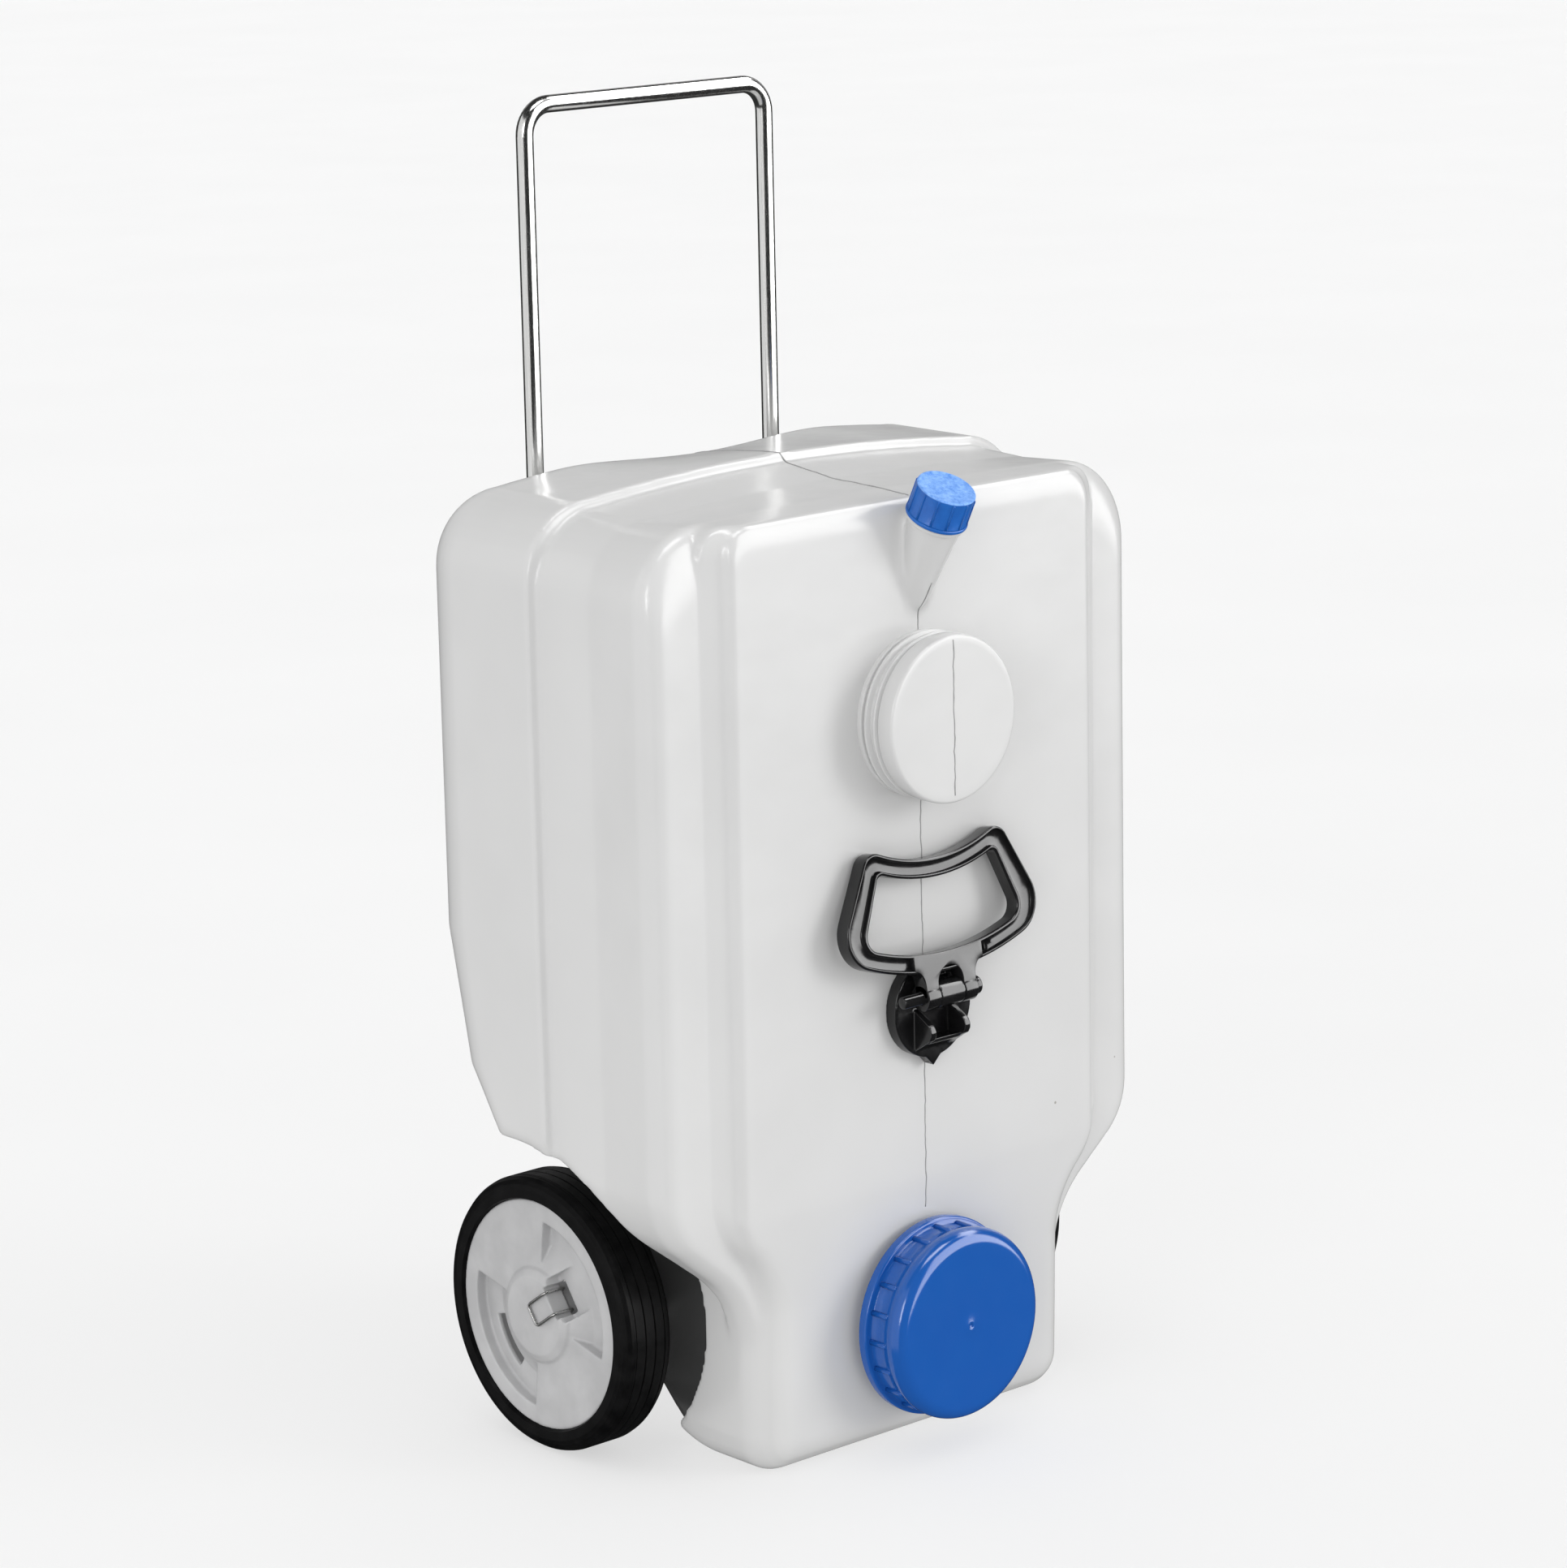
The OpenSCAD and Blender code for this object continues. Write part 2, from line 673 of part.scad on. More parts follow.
// The blind neck: two ridges behind a plain end, moulded shut
module spare_neck() {
    end_r = crest_r - small_r / 2;
    translate([0, 0, -sink]) cylinder(r = neck_r - small_r, h = spare_l - spare_end_l / 2 + sink);
    translate([0, 0, -sink]) cylinder(r = neck_foot_r, h = neck_foot_t + sink);
    translate([0, 0, spare_l - spare_end_l]) rotate_extrude() polygon([
        [0, 0], [end_r, 0], [end_r, spare_end_l - spare_edge_r],
        [end_r - spare_edge_r, spare_end_l], [0, spare_end_l]
    ]);
    ridge_gap = (spare_l - spare_end_l - neck_foot_t) / 2;
    for (i = spare_ridge_shares) translate([0, 0, neck_foot_t + ridge_gap * i - ridge_root_w / 2])
        rotate_extrude() polygon([
            [0, 0], [neck_r - small_r, 0], [end_r, (ridge_root_w - ridge_crest_w) / 2],
            [end_r, (ridge_root_w + ridge_crest_w) / 2], [neck_r - small_r, ridge_root_w], [0, ridge_root_w]
        ]);
}

module spout_neck() {
    translate([0, 0, -shoulder_set - wall]) cylinder(r = spout_r, h = small_neck_l + shoulder_set + wall);
    translate([0, 0, small_thread_start])
        helix_ridge(spout_r - small_sink, small_root_w, small_crest_r, small_crest_w, small_pitch,
            small_thread_turns);
}

module screw_places(z_list) {
    for (z = z_list) for (side = [-1, 1]) translate([side * screw_x, 0, z]) children();
}

guide_zs = [guide_low_z, guide_top_z];

module tank_shell() color("white") placed() difference() {
    union() {
        skin_shell();
        on_spout() spout_neck();
        on_panel(spare_z) spare_neck();
        on_panel(cap_z) large_neck();
        on_panel(hinge_z - base_drop) translate([0, 0, -sink]) cylinder(r = stud_r, h = stud_h + sink);
        // Tube round the axle, and blind bosses for the guide screws
        translate([-lower_half + wall / 2, axle_set, axle_z]) rotate([0, 90, 0])
            cylinder(r = tube_r, h = lower_w - wall);
        screw_places(guide_zs) translate([0, tank_d - wall / 2, 0]) rotate([90, 0, 0])
            cylinder(r = screw_boss_r, h = screw_boss_l);
    }
    on_spout() translate([0, 0, -2 * (shoulder_set + wall)])
        cylinder(d = spout_bore, h = small_neck_l + 2 * (shoulder_set + wall) + over);
    on_panel(spare_z) translate([0, 0, -wall - over]) cylinder(d = neck_bore, h = spare_l + over);
    on_panel(cap_z) translate([0, 0, -neck_root - over])
        cylinder(d = neck_bore, h = neck_l + neck_root + 2 * over);
    translate([-lower_half - over, axle_set, axle_z]) rotate([0, 90, 0])
        cylinder(r = axle_r + run_gap, h = lower_w + 2 * over);
    screw_places(guide_zs) translate([0, handle_set, 0]) rotate([90, 0, 0])
        cylinder(r = screw_r + seat_gap, h = screw_l - guide_back + over);
}

// Large cap, with z pointing out of the neck
module cap_shape() {
    flange_r = cap_flange_d / 2;
    body_r = cap_d / 2;
    grip_r = body_r - grip_deep;
    arc = [for (s = quarter_shares) [
        body_r - cap_edge_r * (1 - cos(90 * s)), cap_l - cap_edge_r * (1 - sin(90 * s))
    ]];
    rib_end = cap_l - cap_edge_r;
    rotate_extrude() polygon(concat(
        [[0, 0], [flange_r, 0], [flange_r, cap_flange_t], [grip_r, cap_flange_t],
         [grip_r, rib_end - grip_deep], [body_r, rib_end]],
        arc, [[0, cap_l]]
    ));
    rib_r = grip_w / 2;
    for (i = [0 : grip_count - 1]) rotate([0, 0, 360 * i / grip_count])
        translate([body_r - rib_r, 0, cap_flange_t - sink])
            cylinder(r = rib_r, h = rib_end - cap_flange_t + sink);
}

module large_cap() color("royalblue") placed() on_panel(cap_z) translate([0, 0, cap_back]) {
    difference() {
        cap_shape();
        translate([0, 0, -over]) cylinder(r = cap_bore_r, h = cap_l - cap_front_t + over);
    }
    translate([0, 0, thread_start - cap_back + thread_pitch / 2]) helix_ridge(
        cap_thread_r, ridge_crest_w, cap_bore_r + ridge_sink, ridge_root_w, thread_pitch,
        thread_turns * cap_turn_share
    );
}

module large_cap_seal() color("dimgray") placed() on_panel(cap_z) translate([0, 0, neck_l + seat_gap])
    difference() {
        cylinder(r = seal_out_r, h = seal_t - 2 * seat_gap);
        translate([0, 0, -over]) cylinder(r = seal_in_r, h = seal_t + 2 * over);
    }

// Small cap, with z pointing out of the spout
module small_cap() color("dodgerblue") placed() on_spout() {
    body_r = small_cap_d / 2;
    flange_r = small_flange_d / 2;
    rib_l = small_cap_h - small_flange_t - 2 * small_edge_r;
    difference() {
        union() {
            rotate_extrude() polygon([
                [0, 0], [flange_r, 0], [flange_r, small_flange_t], [body_r, small_flange_t],
                [body_r, small_cap_h - small_edge_r], [body_r - small_edge_r, small_cap_h],
                [0, small_cap_h]
            ]);
            for (i = [0 : small_rib_count - 1]) rotate([0, 0, 360 * i / small_rib_count])
                translate([body_r - sink, -small_rib_w / 2, small_flange_t - sink])
                    cube([small_rib_h + sink, small_rib_w, rib_l + sink]);
        }
        translate([0, 0, -over]) cylinder(r = small_bore_r, h = small_cap_h - small_front_t + over);
    }
    translate([0, 0, small_thread_start + small_pitch / 2]) helix_ridge(
        spout_r + move_gap, small_crest_w, small_bore_r + small_sink, small_root_w, small_pitch,
        small_thread_turns
    );
}

module small_cap_seal() color("dimgray") placed() on_spout()
    translate([0, 0, small_neck_l + seat_gap]) difference() {
        cylinder(r = spout_r, h = small_seal_t);
        translate([0, 0, -over]) cylinder(r = spout_bore / 2, h = small_seal_t + 2 * over);
    }

// Pull handle: one bent rod
module pull_handle() color("silver") placed() translate([0, handle_set, 0]) {
    for (side = [-1, 1]) {
        translate([side * leg_x, 0, leg_end_z]) cylinder(r = rod_r, h = leg_l - bend_r);
        translate([side * (leg_x - bend_r), 0, handle_h - bend_r]) rotate([90, 0, 0])
            rotate([0, 0, side > 0 ? 0 : 90]) quarter_bend(bend_r, rod_r);
    }
    translate([-leg_x + bend_r, 0, handle_h]) rotate([0, 90, 0])
        cylinder(r = rod_r, h = handle_w - 2 * bend_r);
}

// Collar pushed on the end of a leg
module handle_stop(side) color("black") placed() translate([side * leg_x, handle_set, leg_end_z])
    difference() {
        cylinder(d = stop_d, h = stop_l);
        translate([0, 0, -over]) cylinder(r = rod_r + seat_gap, h = stop_l + 2 * over);
    }

// Guide bar across the back, with a bore for each leg
module guide_bar(z) color("dimgray") placed() translate([0, handle_set, z]) difference() {
    front = handle_out - seat_gap;
    translate([-guide_w / 2, -front, -guide_h / 2]) cube([guide_w, front + guide_back, guide_h]);
    for (side = [-1, 1]) {
        translate([side * leg_x, 0, -guide_h / 2 - over])
            cylinder(r = rod_r + run_gap, h = guide_h + 2 * over);
        translate([side * screw_x, guide_back + over, 0]) rotate([90, 0, 0]) {
            cylinder(r = screw_r + seat_gap, h = guide_back + handle_out + 2 * over);
            cylinder(r = screw_head_r + move_gap, h = screw_head_t + over);
        }
    }
}

module upper_guide() guide_bar(guide_top_z);
module lower_guide() guide_bar(guide_low_z);

module guide_screws() color("silver") placed() screw_places(guide_zs)
    translate([0, handle_set + guide_back, 0]) rotate([90, 0, 0]) difference() {
        union() {
            cylinder(r = screw_head_r, h = screw_head_t - seat_gap);
            cylinder(r = screw_r, h = screw_l);
        }
        for (turn = [0, 90]) rotate([0, 0, turn]) translate([-screw_r, -screw_cross_w / 2, -over])
            cube([screw_d, screw_cross_w, screw_head_t / 2 + over]);
    }

// Axle, with a groove at each end for the clip
module axle() color("silver") placed() translate([0, axle_set, axle_z]) rotate([0, 90, 0]) difference() {
    translate([0, 0, -axle_half]) cylinder(r = axle_r, h = 2 * axle_half);
    for (side = [-1, 1]) translate([0, 0, side * (wheel_x + clip_slot_z)]) difference() {
        translate([0, 0, -clip_d]) cylinder(r = axle_d, h = 2 * clip_d);
        translate([0, 0, -clip_d - over]) cylinder(r = clip_groove_r, h = 2 * (clip_d + over));
    }
}

module axle_washer(side) color("dimgray") placed()
    translate([side * (lower_half + seat_gap), axle_set, axle_z]) rotate([0, side * 90, 0]) difference() {
        cylinder(r = washer_r, h = washer_t);
        translate([0, 0, -over]) cylinder(r = axle_r + seat_gap, h = washer_t + 2 * over);
    }

// A sector of a ring about z, for cuts
module ring_sector(in_r, out_r, h, turn, span) {
    far = 2 * out_r;
    intersection() {
        difference() {
            cylinder(r = out_r, h = h);
            translate([0, 0, -over]) cylinder(r = in_r, h = h + 2 * over);
        }
        rotate([0, 0, turn]) linear_extrude(h) polygon([
            [0, 0], far * [cos(span / 2), -sin(span / 2)], [far, 0], far * [cos(span / 2), sin(span / 2)]
        ]);
    }
}

// A sunk sector: a flat floor outside, and a slope up to the boss
module sunk_sector(turn) {
    in_r = boss_r + boss_h / 2;
    intersection() {
        translate([0, 0, wheel_face]) rotate_extrude() polygon([
            [in_r, over], [in_r, 0], [slope_r, -sector_deep],
            [sector_d / 2, -sector_deep], [sector_d / 2, over]
        ]);
        translate([0, 0, wheel_face - sector_deep - over])
            ring_sector(in_r - over, sector_d / 2 + over, sector_deep + 3 * over, turn, sector_span);
    }
}

module wheel_rim(side) color("lightgray") placed() on_wheel(side) difference() {
    union() {
        difference() {
            translate([0, 0, -wheel_face]) cylinder(r = rim_r, h = 2 * wheel_face);
            translate([0, 0, -wheel_face - over])
                cylinder(r = rim_r - barrel_t, h = wheel_face + clip_slot_z + over);
        }
        translate([0, 0, -hub_end]) cylinder(r = hub_r, h = hub_end + clip_slot_z + sink);
        translate([0, 0, wheel_face - sink]) rotate_extrude() polygon([
            [0, 0], [boss_r + boss_h / 2, 0], [boss_r, boss_h / 2 + sink], [boss_r - boss_h, boss_h + sink],
            [0, boss_h + sink]
        ]);
    }
    translate([0, 0, -hub_end - over])
        cylinder(r = axle_r + run_gap, h = axle_half - wheel_x + hub_end + over + move_gap);
    for (turn = [sector_turn, sector_turn - 180]) sunk_sector(turn);
    translate([0, 0, -over]) ring_sector(slope_r, slope_r + slot_w, wheel_face, sector_turn, slot_span);
    // Pocket for the clip's legs, the notch through which it is pushed in, and the cut in the boss
    rotate([0, 0, clip_turn]) {
        translate([-clip_tail - clip_d, -clip_lug - clip_d, clip_slot_z - clip_d])
            cube([clip_tail + clip_out_r + 3 * clip_d, 2 * (clip_lug + clip_d), 2 * clip_d]);
        translate([clip_out_r - clip_d, -clip_lug - clip_d, clip_slot_z - clip_d])
            cube([4 * clip_d, 2 * (clip_lug + clip_d), wheel_face + boss_h]);
        translate([clip_out_r + clip_d, -notch_half, wheel_face - sector_deep])
            cube([slope_r - clip_out_r - clip_d, 2 * notch_half, sector_deep + boss_h + over]);
    }
}

// A quarter of a bent wire, from the x direction to the y direction
module quarter_bend(bend, r) {
    intersection() {
        rotate_extrude() translate([bend, 0]) circle(r = r);
        translate([0, 0, -r]) cube([bend + r, bend + r, 2 * r]);
    }
}

// Wire clip: two legs beside the axle, turned up through the notch and back over the boss
module wheel_clip(side) color("silver") placed() on_wheel(side) rotate([0, 0, clip_turn]) {
    leg_y = clip_groove_r + clip_r + move_gap;
    corner_x = clip_out_r - clip_bend;
    rise = clip_face_z - clip_slot_z - 2 * clip_bend;
    for (y = [-leg_y, leg_y]) {
        translate([-clip_tail, y, clip_slot_z]) rotate([0, 90, 0])
            cylinder(r = clip_r, h = clip_tail + corner_x);
        translate([corner_x, y, clip_slot_z + clip_bend]) rotate([90, 0, 0]) rotate([0, 0, -90])
            quarter_bend(clip_bend, clip_r);
        translate([clip_out_r, y, clip_slot_z + clip_bend]) cylinder(r = clip_r, h = rise);
        translate([corner_x, y, clip_face_z - clip_bend]) rotate([90, 0, 0]) quarter_bend(clip_bend, clip_r);
        translate([clip_in_r, y, clip_face_z]) rotate([0, 90, 0])
            cylinder(r = clip_r, h = corner_x - clip_in_r);
    }
    end_y = leg_y - clip_bend;
    translate([clip_in_r, end_y, clip_face_z]) rotate([0, 0, 90]) quarter_bend(clip_bend, clip_r);
    translate([clip_in_r, -end_y, clip_face_z]) rotate([0, 0, 180]) quarter_bend(clip_bend, clip_r);
    translate([clip_in_r - clip_bend, end_y, clip_face_z]) rotate([90, 0, 0])
        cylinder(r = clip_r, h = 2 * end_y);
}

module tyre(side) color("black") placed() on_wheel(side) rotate_extrude() {
    half = tyre_w / 2;
    seat = rim_r + seat_gap;
    groove_half = tread_groove_w / 2;
    shoulder = [for (s = quarter_shares) [
        tyre_r - shoulder_r * (1 - cos(90 * s)), half - shoulder_r * (1 - sin(90 * s))
    ]];
    grooves = [for (g = tread_groove_shares) each [
        [tyre_r, g * tyre_w - groove_half], [tyre_r - tread_groove, g * tyre_w - groove_half / 2],
        [tyre_r - tread_groove, g * tyre_w + groove_half / 2], [tyre_r, g * tyre_w + groove_half]
    ]];
    polygon(concat(
        [[seat, -wheel_face], [rim_r + small_r, -half]],
        [for (i = [len(shoulder) - 1 : -1 : 0]) [shoulder[i][0], -shoulder[i][1]]],
        grooves, shoulder,
        [[rim_r + small_r, half], [seat, wheel_face]]
    ));
}

// Outline of the loop: a rounded sector of a ring, its middle above it
function loop_outline(in_r, out_r, half, corner, top) =
    let (
        in_a = half - asin(top / (in_r + top)),
        out_a = half - asin(corner / (out_r - corner)),
        steps = [for (i = [0 : loop_steps]) i / loop_steps],
        right = concat(
            [for (s = steps) let (a = out_a * s) out_r * [sin(a), -cos(a)]],
            [for (s = steps) let (a = out_a + (half + 90 - out_a) * s)
                (out_r - corner) * [sin(out_a), -cos(out_a)] + corner * [sin(a), -cos(a)]],
            [for (s = steps) let (a = half + 90 + (in_a + 90 - half) * s)
                (in_r + top) * [sin(in_a), -cos(in_a)] + top * [sin(a), -cos(a)]],
            [for (s = steps) let (a = in_a * (1 - s)) in_r * [sin(a), -cos(a)]]
        ),
        last = len(right) - 1,
        ring = concat(
            [for (i = [1 : last]) if (norm(right[i] - right[i - 1]) > seat_gap) right[i]],
            [for (i = [last - 1 : -1 : 0]) if (norm(right[i + 1] - right[i]) > seat_gap)
                [-right[i][0], right[i][1]]]
        )
    ) ring;

// The loop's outline, drawn in from its edge
module loop_shape(inset, grown) {
    angle_in = atan(inset / loop_lower_r);
    band = loop_band - grown;
    translate([0, loop_rise]) difference() {
        polygon(loop_outline(
            loop_upper_r + inset, loop_lower_r - inset, loop_half_angle - angle_in,
            loop_corner_r - inset, loop_top_r - inset
        ));
        polygon(loop_outline(
            loop_upper_r + band, loop_lower_r - band,
            loop_half_angle - atan(band / loop_upper_r), loop_corner_r - band, loop_top_r - band / 2
        ));
    }
}

module carry_handle_loop() color("black") placed() on_hinge() rotate([-loop_lean, 0, 0]) difference() {
    bottom = loop_rise - loop_lower_r + loop_band / 2;
    union() {
        rotate([90, 0, 0]) translate([0, 0, loop_back]) linear_extrude(loop_t) loop_shape(0, 0);
        for (side = [-1, 1]) translate([side > 0 ? lug_in : -lug_out, 0, 0]) {
            rotate([0, 90, 0]) cylinder(r = knuckle_r, h = lug_w);
            translate([0, -loop_front, 0]) cube([lug_w, loop_t, bottom]);
        }
        rotate([90, 0, 0]) translate([0, 0, loop_back]) linear_extrude(loop_t) {
            for (side = [-1, 1]) polygon(concat([[side * lug_in, bottom]], [for (s = quarter_shares) [
                side * (lug_out + lug_flare * (1 - cos(90 * s))),
                lug_flare_h + (bottom - lug_flare_h) * sin(90 * s)
            ]]));
            translate([-lug_in - sink, notch_rise]) square([2 * (lug_in + sink), bottom - notch_rise]);
        }
    }
    // Round notch between the lugs, for the base's knuckle
    rotate([90, 0, 0]) translate([0, 0, loop_back - over]) linear_extrude(loop_t + 2 * over) {
        translate([0, notch_rise]) circle(r = notch_r);
        translate([-notch_r, -knuckle_r]) square([2 * notch_r, knuckle_r + notch_rise]);
    }
    translate([0, -loop_front + channel_deep, 0]) rotate([90, 0, 0]) linear_extrude(channel_deep + over)
        difference() {
            loop_shape(channel_rim, channel_rim);
            translate([-channel_gap_w / 2, 0]) square([channel_gap_w, bottom + loop_band]);
        }
    translate([-lug_out - over, 0, 0]) rotate([0, 90, 0])
        cylinder(r = pin_r + run_gap, h = 2 * (lug_out + over));
}

// Cheeks below the hinge and the web between them: -Y and height from the pin
cheek_outline = concat(
    [[-cheek_back, -cheek_top]],
    [for (a = cheek_turns) [-(cheek_reach - cheek_r + cheek_r * cos(a)), -cheek_drop + cheek_r * sin(a)]],
    [[-cheek_back, -cheek_foot]]
);
web_outline = [
    [-cheek_back, -web_drop], [-cheek_reach + cheek_r + cheek_t, -web_drop],
    [-cheek_reach + cheek_t, -web_drop + small_r], [-cheek_reach + cheek_r, -web_drop - cheek_t / 2],
    [-cheek_back, -cheek_foot + small_r]
];

module carry_handle_base() color("black") placed() difference() {
    union() {
        on_panel(hinge_z - base_drop) translate([0, 0, seat_gap]) {
            cylinder(r = base_r, h = base_t - seat_gap);
            linear_extrude(base_t - seat_gap) polygon([
                [-foot_w / 2, base_drop - foot_drop], [foot_w / 2, base_drop - foot_drop],
                [0, base_drop - foot_drop - foot_w / 2]
            ]);
        }
        on_hinge() {
            translate([-knuckle_w / 2, 0, 0]) rotate([0, 90, 0]) cylinder(r = knuckle_r, h = knuckle_w);
            translate([-knuckle_w / 2, 0, -knuckle_r])
                cube([knuckle_w, hinge_reach - base_t + sink, 2 * knuckle_r]);
        }
        for (side = [-1, 1]) translate([side * cheek_x - cheek_t / 2, 0, hinge_z]) rotate([90, 0, 90])
            linear_extrude(cheek_t) polygon(cheek_outline);
        translate([-cheek_x, 0, hinge_z]) rotate([90, 0, 90]) linear_extrude(2 * cheek_x)
            polygon(web_outline);
    }
    on_panel(hinge_z - base_drop) translate([0, 0, -over])
        cylinder(r = stud_r + seat_gap, h = stud_h + seat_gap + over);
    on_hinge() translate([-knuckle_w, 0, 0]) rotate([0, 90, 0])
        cylinder(r = pin_r + seat_gap, h = 2 * knuckle_w);
}

module carry_handle_pin() color("black") placed() on_hinge() rotate([0, 90, 0]) {
    translate([0, 0, -pin_l / 2]) cylinder(r = pin_r, h = pin_l - pin_head_t + sink);
    translate([0, 0, pin_l / 2 - pin_head_t]) cylinder(d = pin_head_d, h = pin_head_t);
}

tank_shell();
large_cap();
large_cap_seal();
small_cap();
small_cap_seal();
pull_handle();
handle_stop(-1);  // handle_stop_left
handle_stop(1);  // handle_stop_right
upper_guide();
lower_guide();
guide_screws();
axle();
axle_washer(-1);  // axle_washer_left
axle_washer(1);  // axle_washer_right
wheel_rim(-1);  // wheel_rim_left
wheel_rim(1);  // wheel_rim_right
tyre(-1);  // tyre_left
tyre(1);  // tyre_right
wheel_clip(-1);  // wheel_clip_left
wheel_clip(1);  // wheel_clip_right
carry_handle_base();
carry_handle_loop();
carry_handle_pin();
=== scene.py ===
"""Looks of the wheeled water tank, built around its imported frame."""

import json
import math

import bmesh
import bpy
import numpy as np
from mathutils import Matrix, Vector, noise
from mathutils.bvhtree import BVHTree


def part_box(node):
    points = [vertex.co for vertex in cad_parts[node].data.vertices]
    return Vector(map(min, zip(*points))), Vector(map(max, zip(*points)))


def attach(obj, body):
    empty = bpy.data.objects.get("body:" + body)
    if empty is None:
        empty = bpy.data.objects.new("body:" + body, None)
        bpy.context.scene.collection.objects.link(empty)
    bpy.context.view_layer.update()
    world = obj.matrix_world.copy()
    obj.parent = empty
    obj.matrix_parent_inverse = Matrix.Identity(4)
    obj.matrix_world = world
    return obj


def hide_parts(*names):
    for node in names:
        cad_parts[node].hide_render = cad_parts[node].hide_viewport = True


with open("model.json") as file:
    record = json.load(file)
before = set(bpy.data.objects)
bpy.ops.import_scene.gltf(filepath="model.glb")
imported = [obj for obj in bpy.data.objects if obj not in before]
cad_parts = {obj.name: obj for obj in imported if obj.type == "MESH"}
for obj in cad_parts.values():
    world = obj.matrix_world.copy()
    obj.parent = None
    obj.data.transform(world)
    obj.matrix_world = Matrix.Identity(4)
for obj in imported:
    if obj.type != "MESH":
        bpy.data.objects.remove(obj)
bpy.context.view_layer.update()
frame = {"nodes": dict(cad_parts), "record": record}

NODES = frame["nodes"]
SCENE = bpy.context.scene

# Lengths below are in millimetres, from the front panel's plane (Y = 0), the floor and the middle plane
MM = 0.001
SEAT_GAP = 0.05
PANEL_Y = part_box("carry_handle_base")[1].y / MM + SEAT_GAP

# Tank
TANK_H, TANK_D, TANK_HALF = 556, 212, 181.5
TOP_R, CROWN, VALLEY, BACK_R = 43, 8, 2, 34
SCOOP_D, SCOOP_W = 12, 200
PANEL_HALF, PANEL_EDGE_R, PANEL_TOP_R, PANEL_CORNER_R, PANEL_SINK = 136, 6, 12, 16, 8
LEDGE_SET, FLANK_W, LEDGE_FALL, LEDGE_R, LEDGE_TOP_R = 12, 11, 1, 14, 34
REAR_SET, REAR_STEP, STEP_RUN = 108, 4.8, 3
UPPER_SLOPE, LOWER_SLOPE = 19, 46
KINK_HEIGHTS = (10, 44, 121)
LOWER_HALF, LOWER_D, LOWER_SET = 119, 156, 5
WAIST_Z, PANEL_LIFT, WAIST_R, SHELF_R, SHELF_LEAN = 74, 24, 60, 45, 50
FLOOR_R, LOWER_EDGE_R, RISE_SET, RISE_R = 22, 23, 60, 60
AXLE_SET, AXLE_Z, WELL_R = 142, 80, 107
RECESS_R, RECESS_DEEP, RECESS_BOSS_R = 86, 16, 22
SMALL_R = 1
REAR_LOWER_IN_SHARE, REAR_FLOOR_IN_SHARE = 0.4, 0.15
LEDGE_END = LEDGE_SET + LEDGE_FALL + LEDGE_R
SWAY_R = SHELF_R + WAIST_R

# Spout, necks and caps
SPOUT_LEAN, SPOUT_Z, SPOUT_L = 27, 503, 35
SPOUT_R, SPOUT_BORE_R, SPOUT_NECK_L = 13, 10, 15
SPOUT_FOOT_R, SPOUT_FOOT_H, SPOUT_SHOULDER_R, SHOULDER_SET = 9, -14, 15.5, 2
CAP_Z, NECK_R, NECK_BORE_R, NECK_L, THREAD_H = 75, 45, 40, 29, 2.6
NECK_FLANGE, NECK_FLANGE_T = 1.6, 3
THREAD_PITCH, THREAD_ROOT_W, THREAD_CREST_W, THREAD_START = 8, 3.2, 1.4, 8
SMALL_PITCH, SMALL_ROOT_W, SMALL_CREST_W, SMALL_START = 4, 1.6, 0.7, 3
SPARE_Z, SPARE_L, SPARE_END_L, SPARE_EDGE_R = 423, 28, 11, 1.8
CAP_BACK, CAP_L, CAP_R, CAP_FLANGE_R, CAP_FLANGE_T, CAP_EDGE_R = 4, 31.6, 55.3, 57.4, 6, 8
CAP_FRONT_T, CAP_BORE_R, GRIP_DEEP, GRIP_W, GRIP_COUNT, GRIP_SWELL = 3.6, 48, 2.2, 3.4, 20, 9
SMALL_H, SMALL_CAP_R, SMALL_FLANGE_R, SMALL_FLANGE_T = 19.5, 16.8, 17.8, 2
SMALL_FRONT_T, SMALL_BORE_R, SMALL_RIB_COUNT, SMALL_RIB_R = 2.4, 14.6, 12, 0.7

# Carry handle, its loop in its own frame: across, up from the pin
HINGE_Z, HINGE_REACH, LOOP_LEAN = 266, 18, 8.5
LOOP_RISE, LOOP_UPPER_R, LOOP_LOWER_R, LOOP_HALF = 184, 107, 171, 27.8
LOOP_BAND, LOOP_CORNER_R, LOOP_TOP_R = 11, 20, 10
LOOP_FRONT, LOOP_BACK, CHANNEL_DEEP, CHANNEL_RIM = 6, -4, 3.5, 1.9
LOOP_SLOT = ((27, 31.5), (17.8, 24.4))
PIN_R, PIN_END, PIN_HEAD_R, PIN_HEAD_T, PIN_GAP = 3.5, -33, 5.5, 4.5, 0.6
LUG_IN, LUG_OUT, LUG_FLARE, LUG_FLARE_H = 9.4, 19, 8, 7
KNUCKLE_R, PIN_BORE_R, NOTCH_RISE, PLATE_HALF = 7.5, 3.58, 6.6, 26


def to_row(p):
    """A point in millimetres from the panel to a point in metres in the frame."""
    return Vector((p[0] * MM, (p[1] + PANEL_Y) * MM, p[2] * MM))


def smooth(t):
    t = min(max(t, 0), 1)
    return t * t * (3 - 2 * t)


# Mesh helpers

SOFTEN_SHARE, SOFTEN_STEPS = 0.5, 3
TANK_VOXEL, BASE_VOXEL, RIM_VOXEL = 1.7, 0.5, 0.7


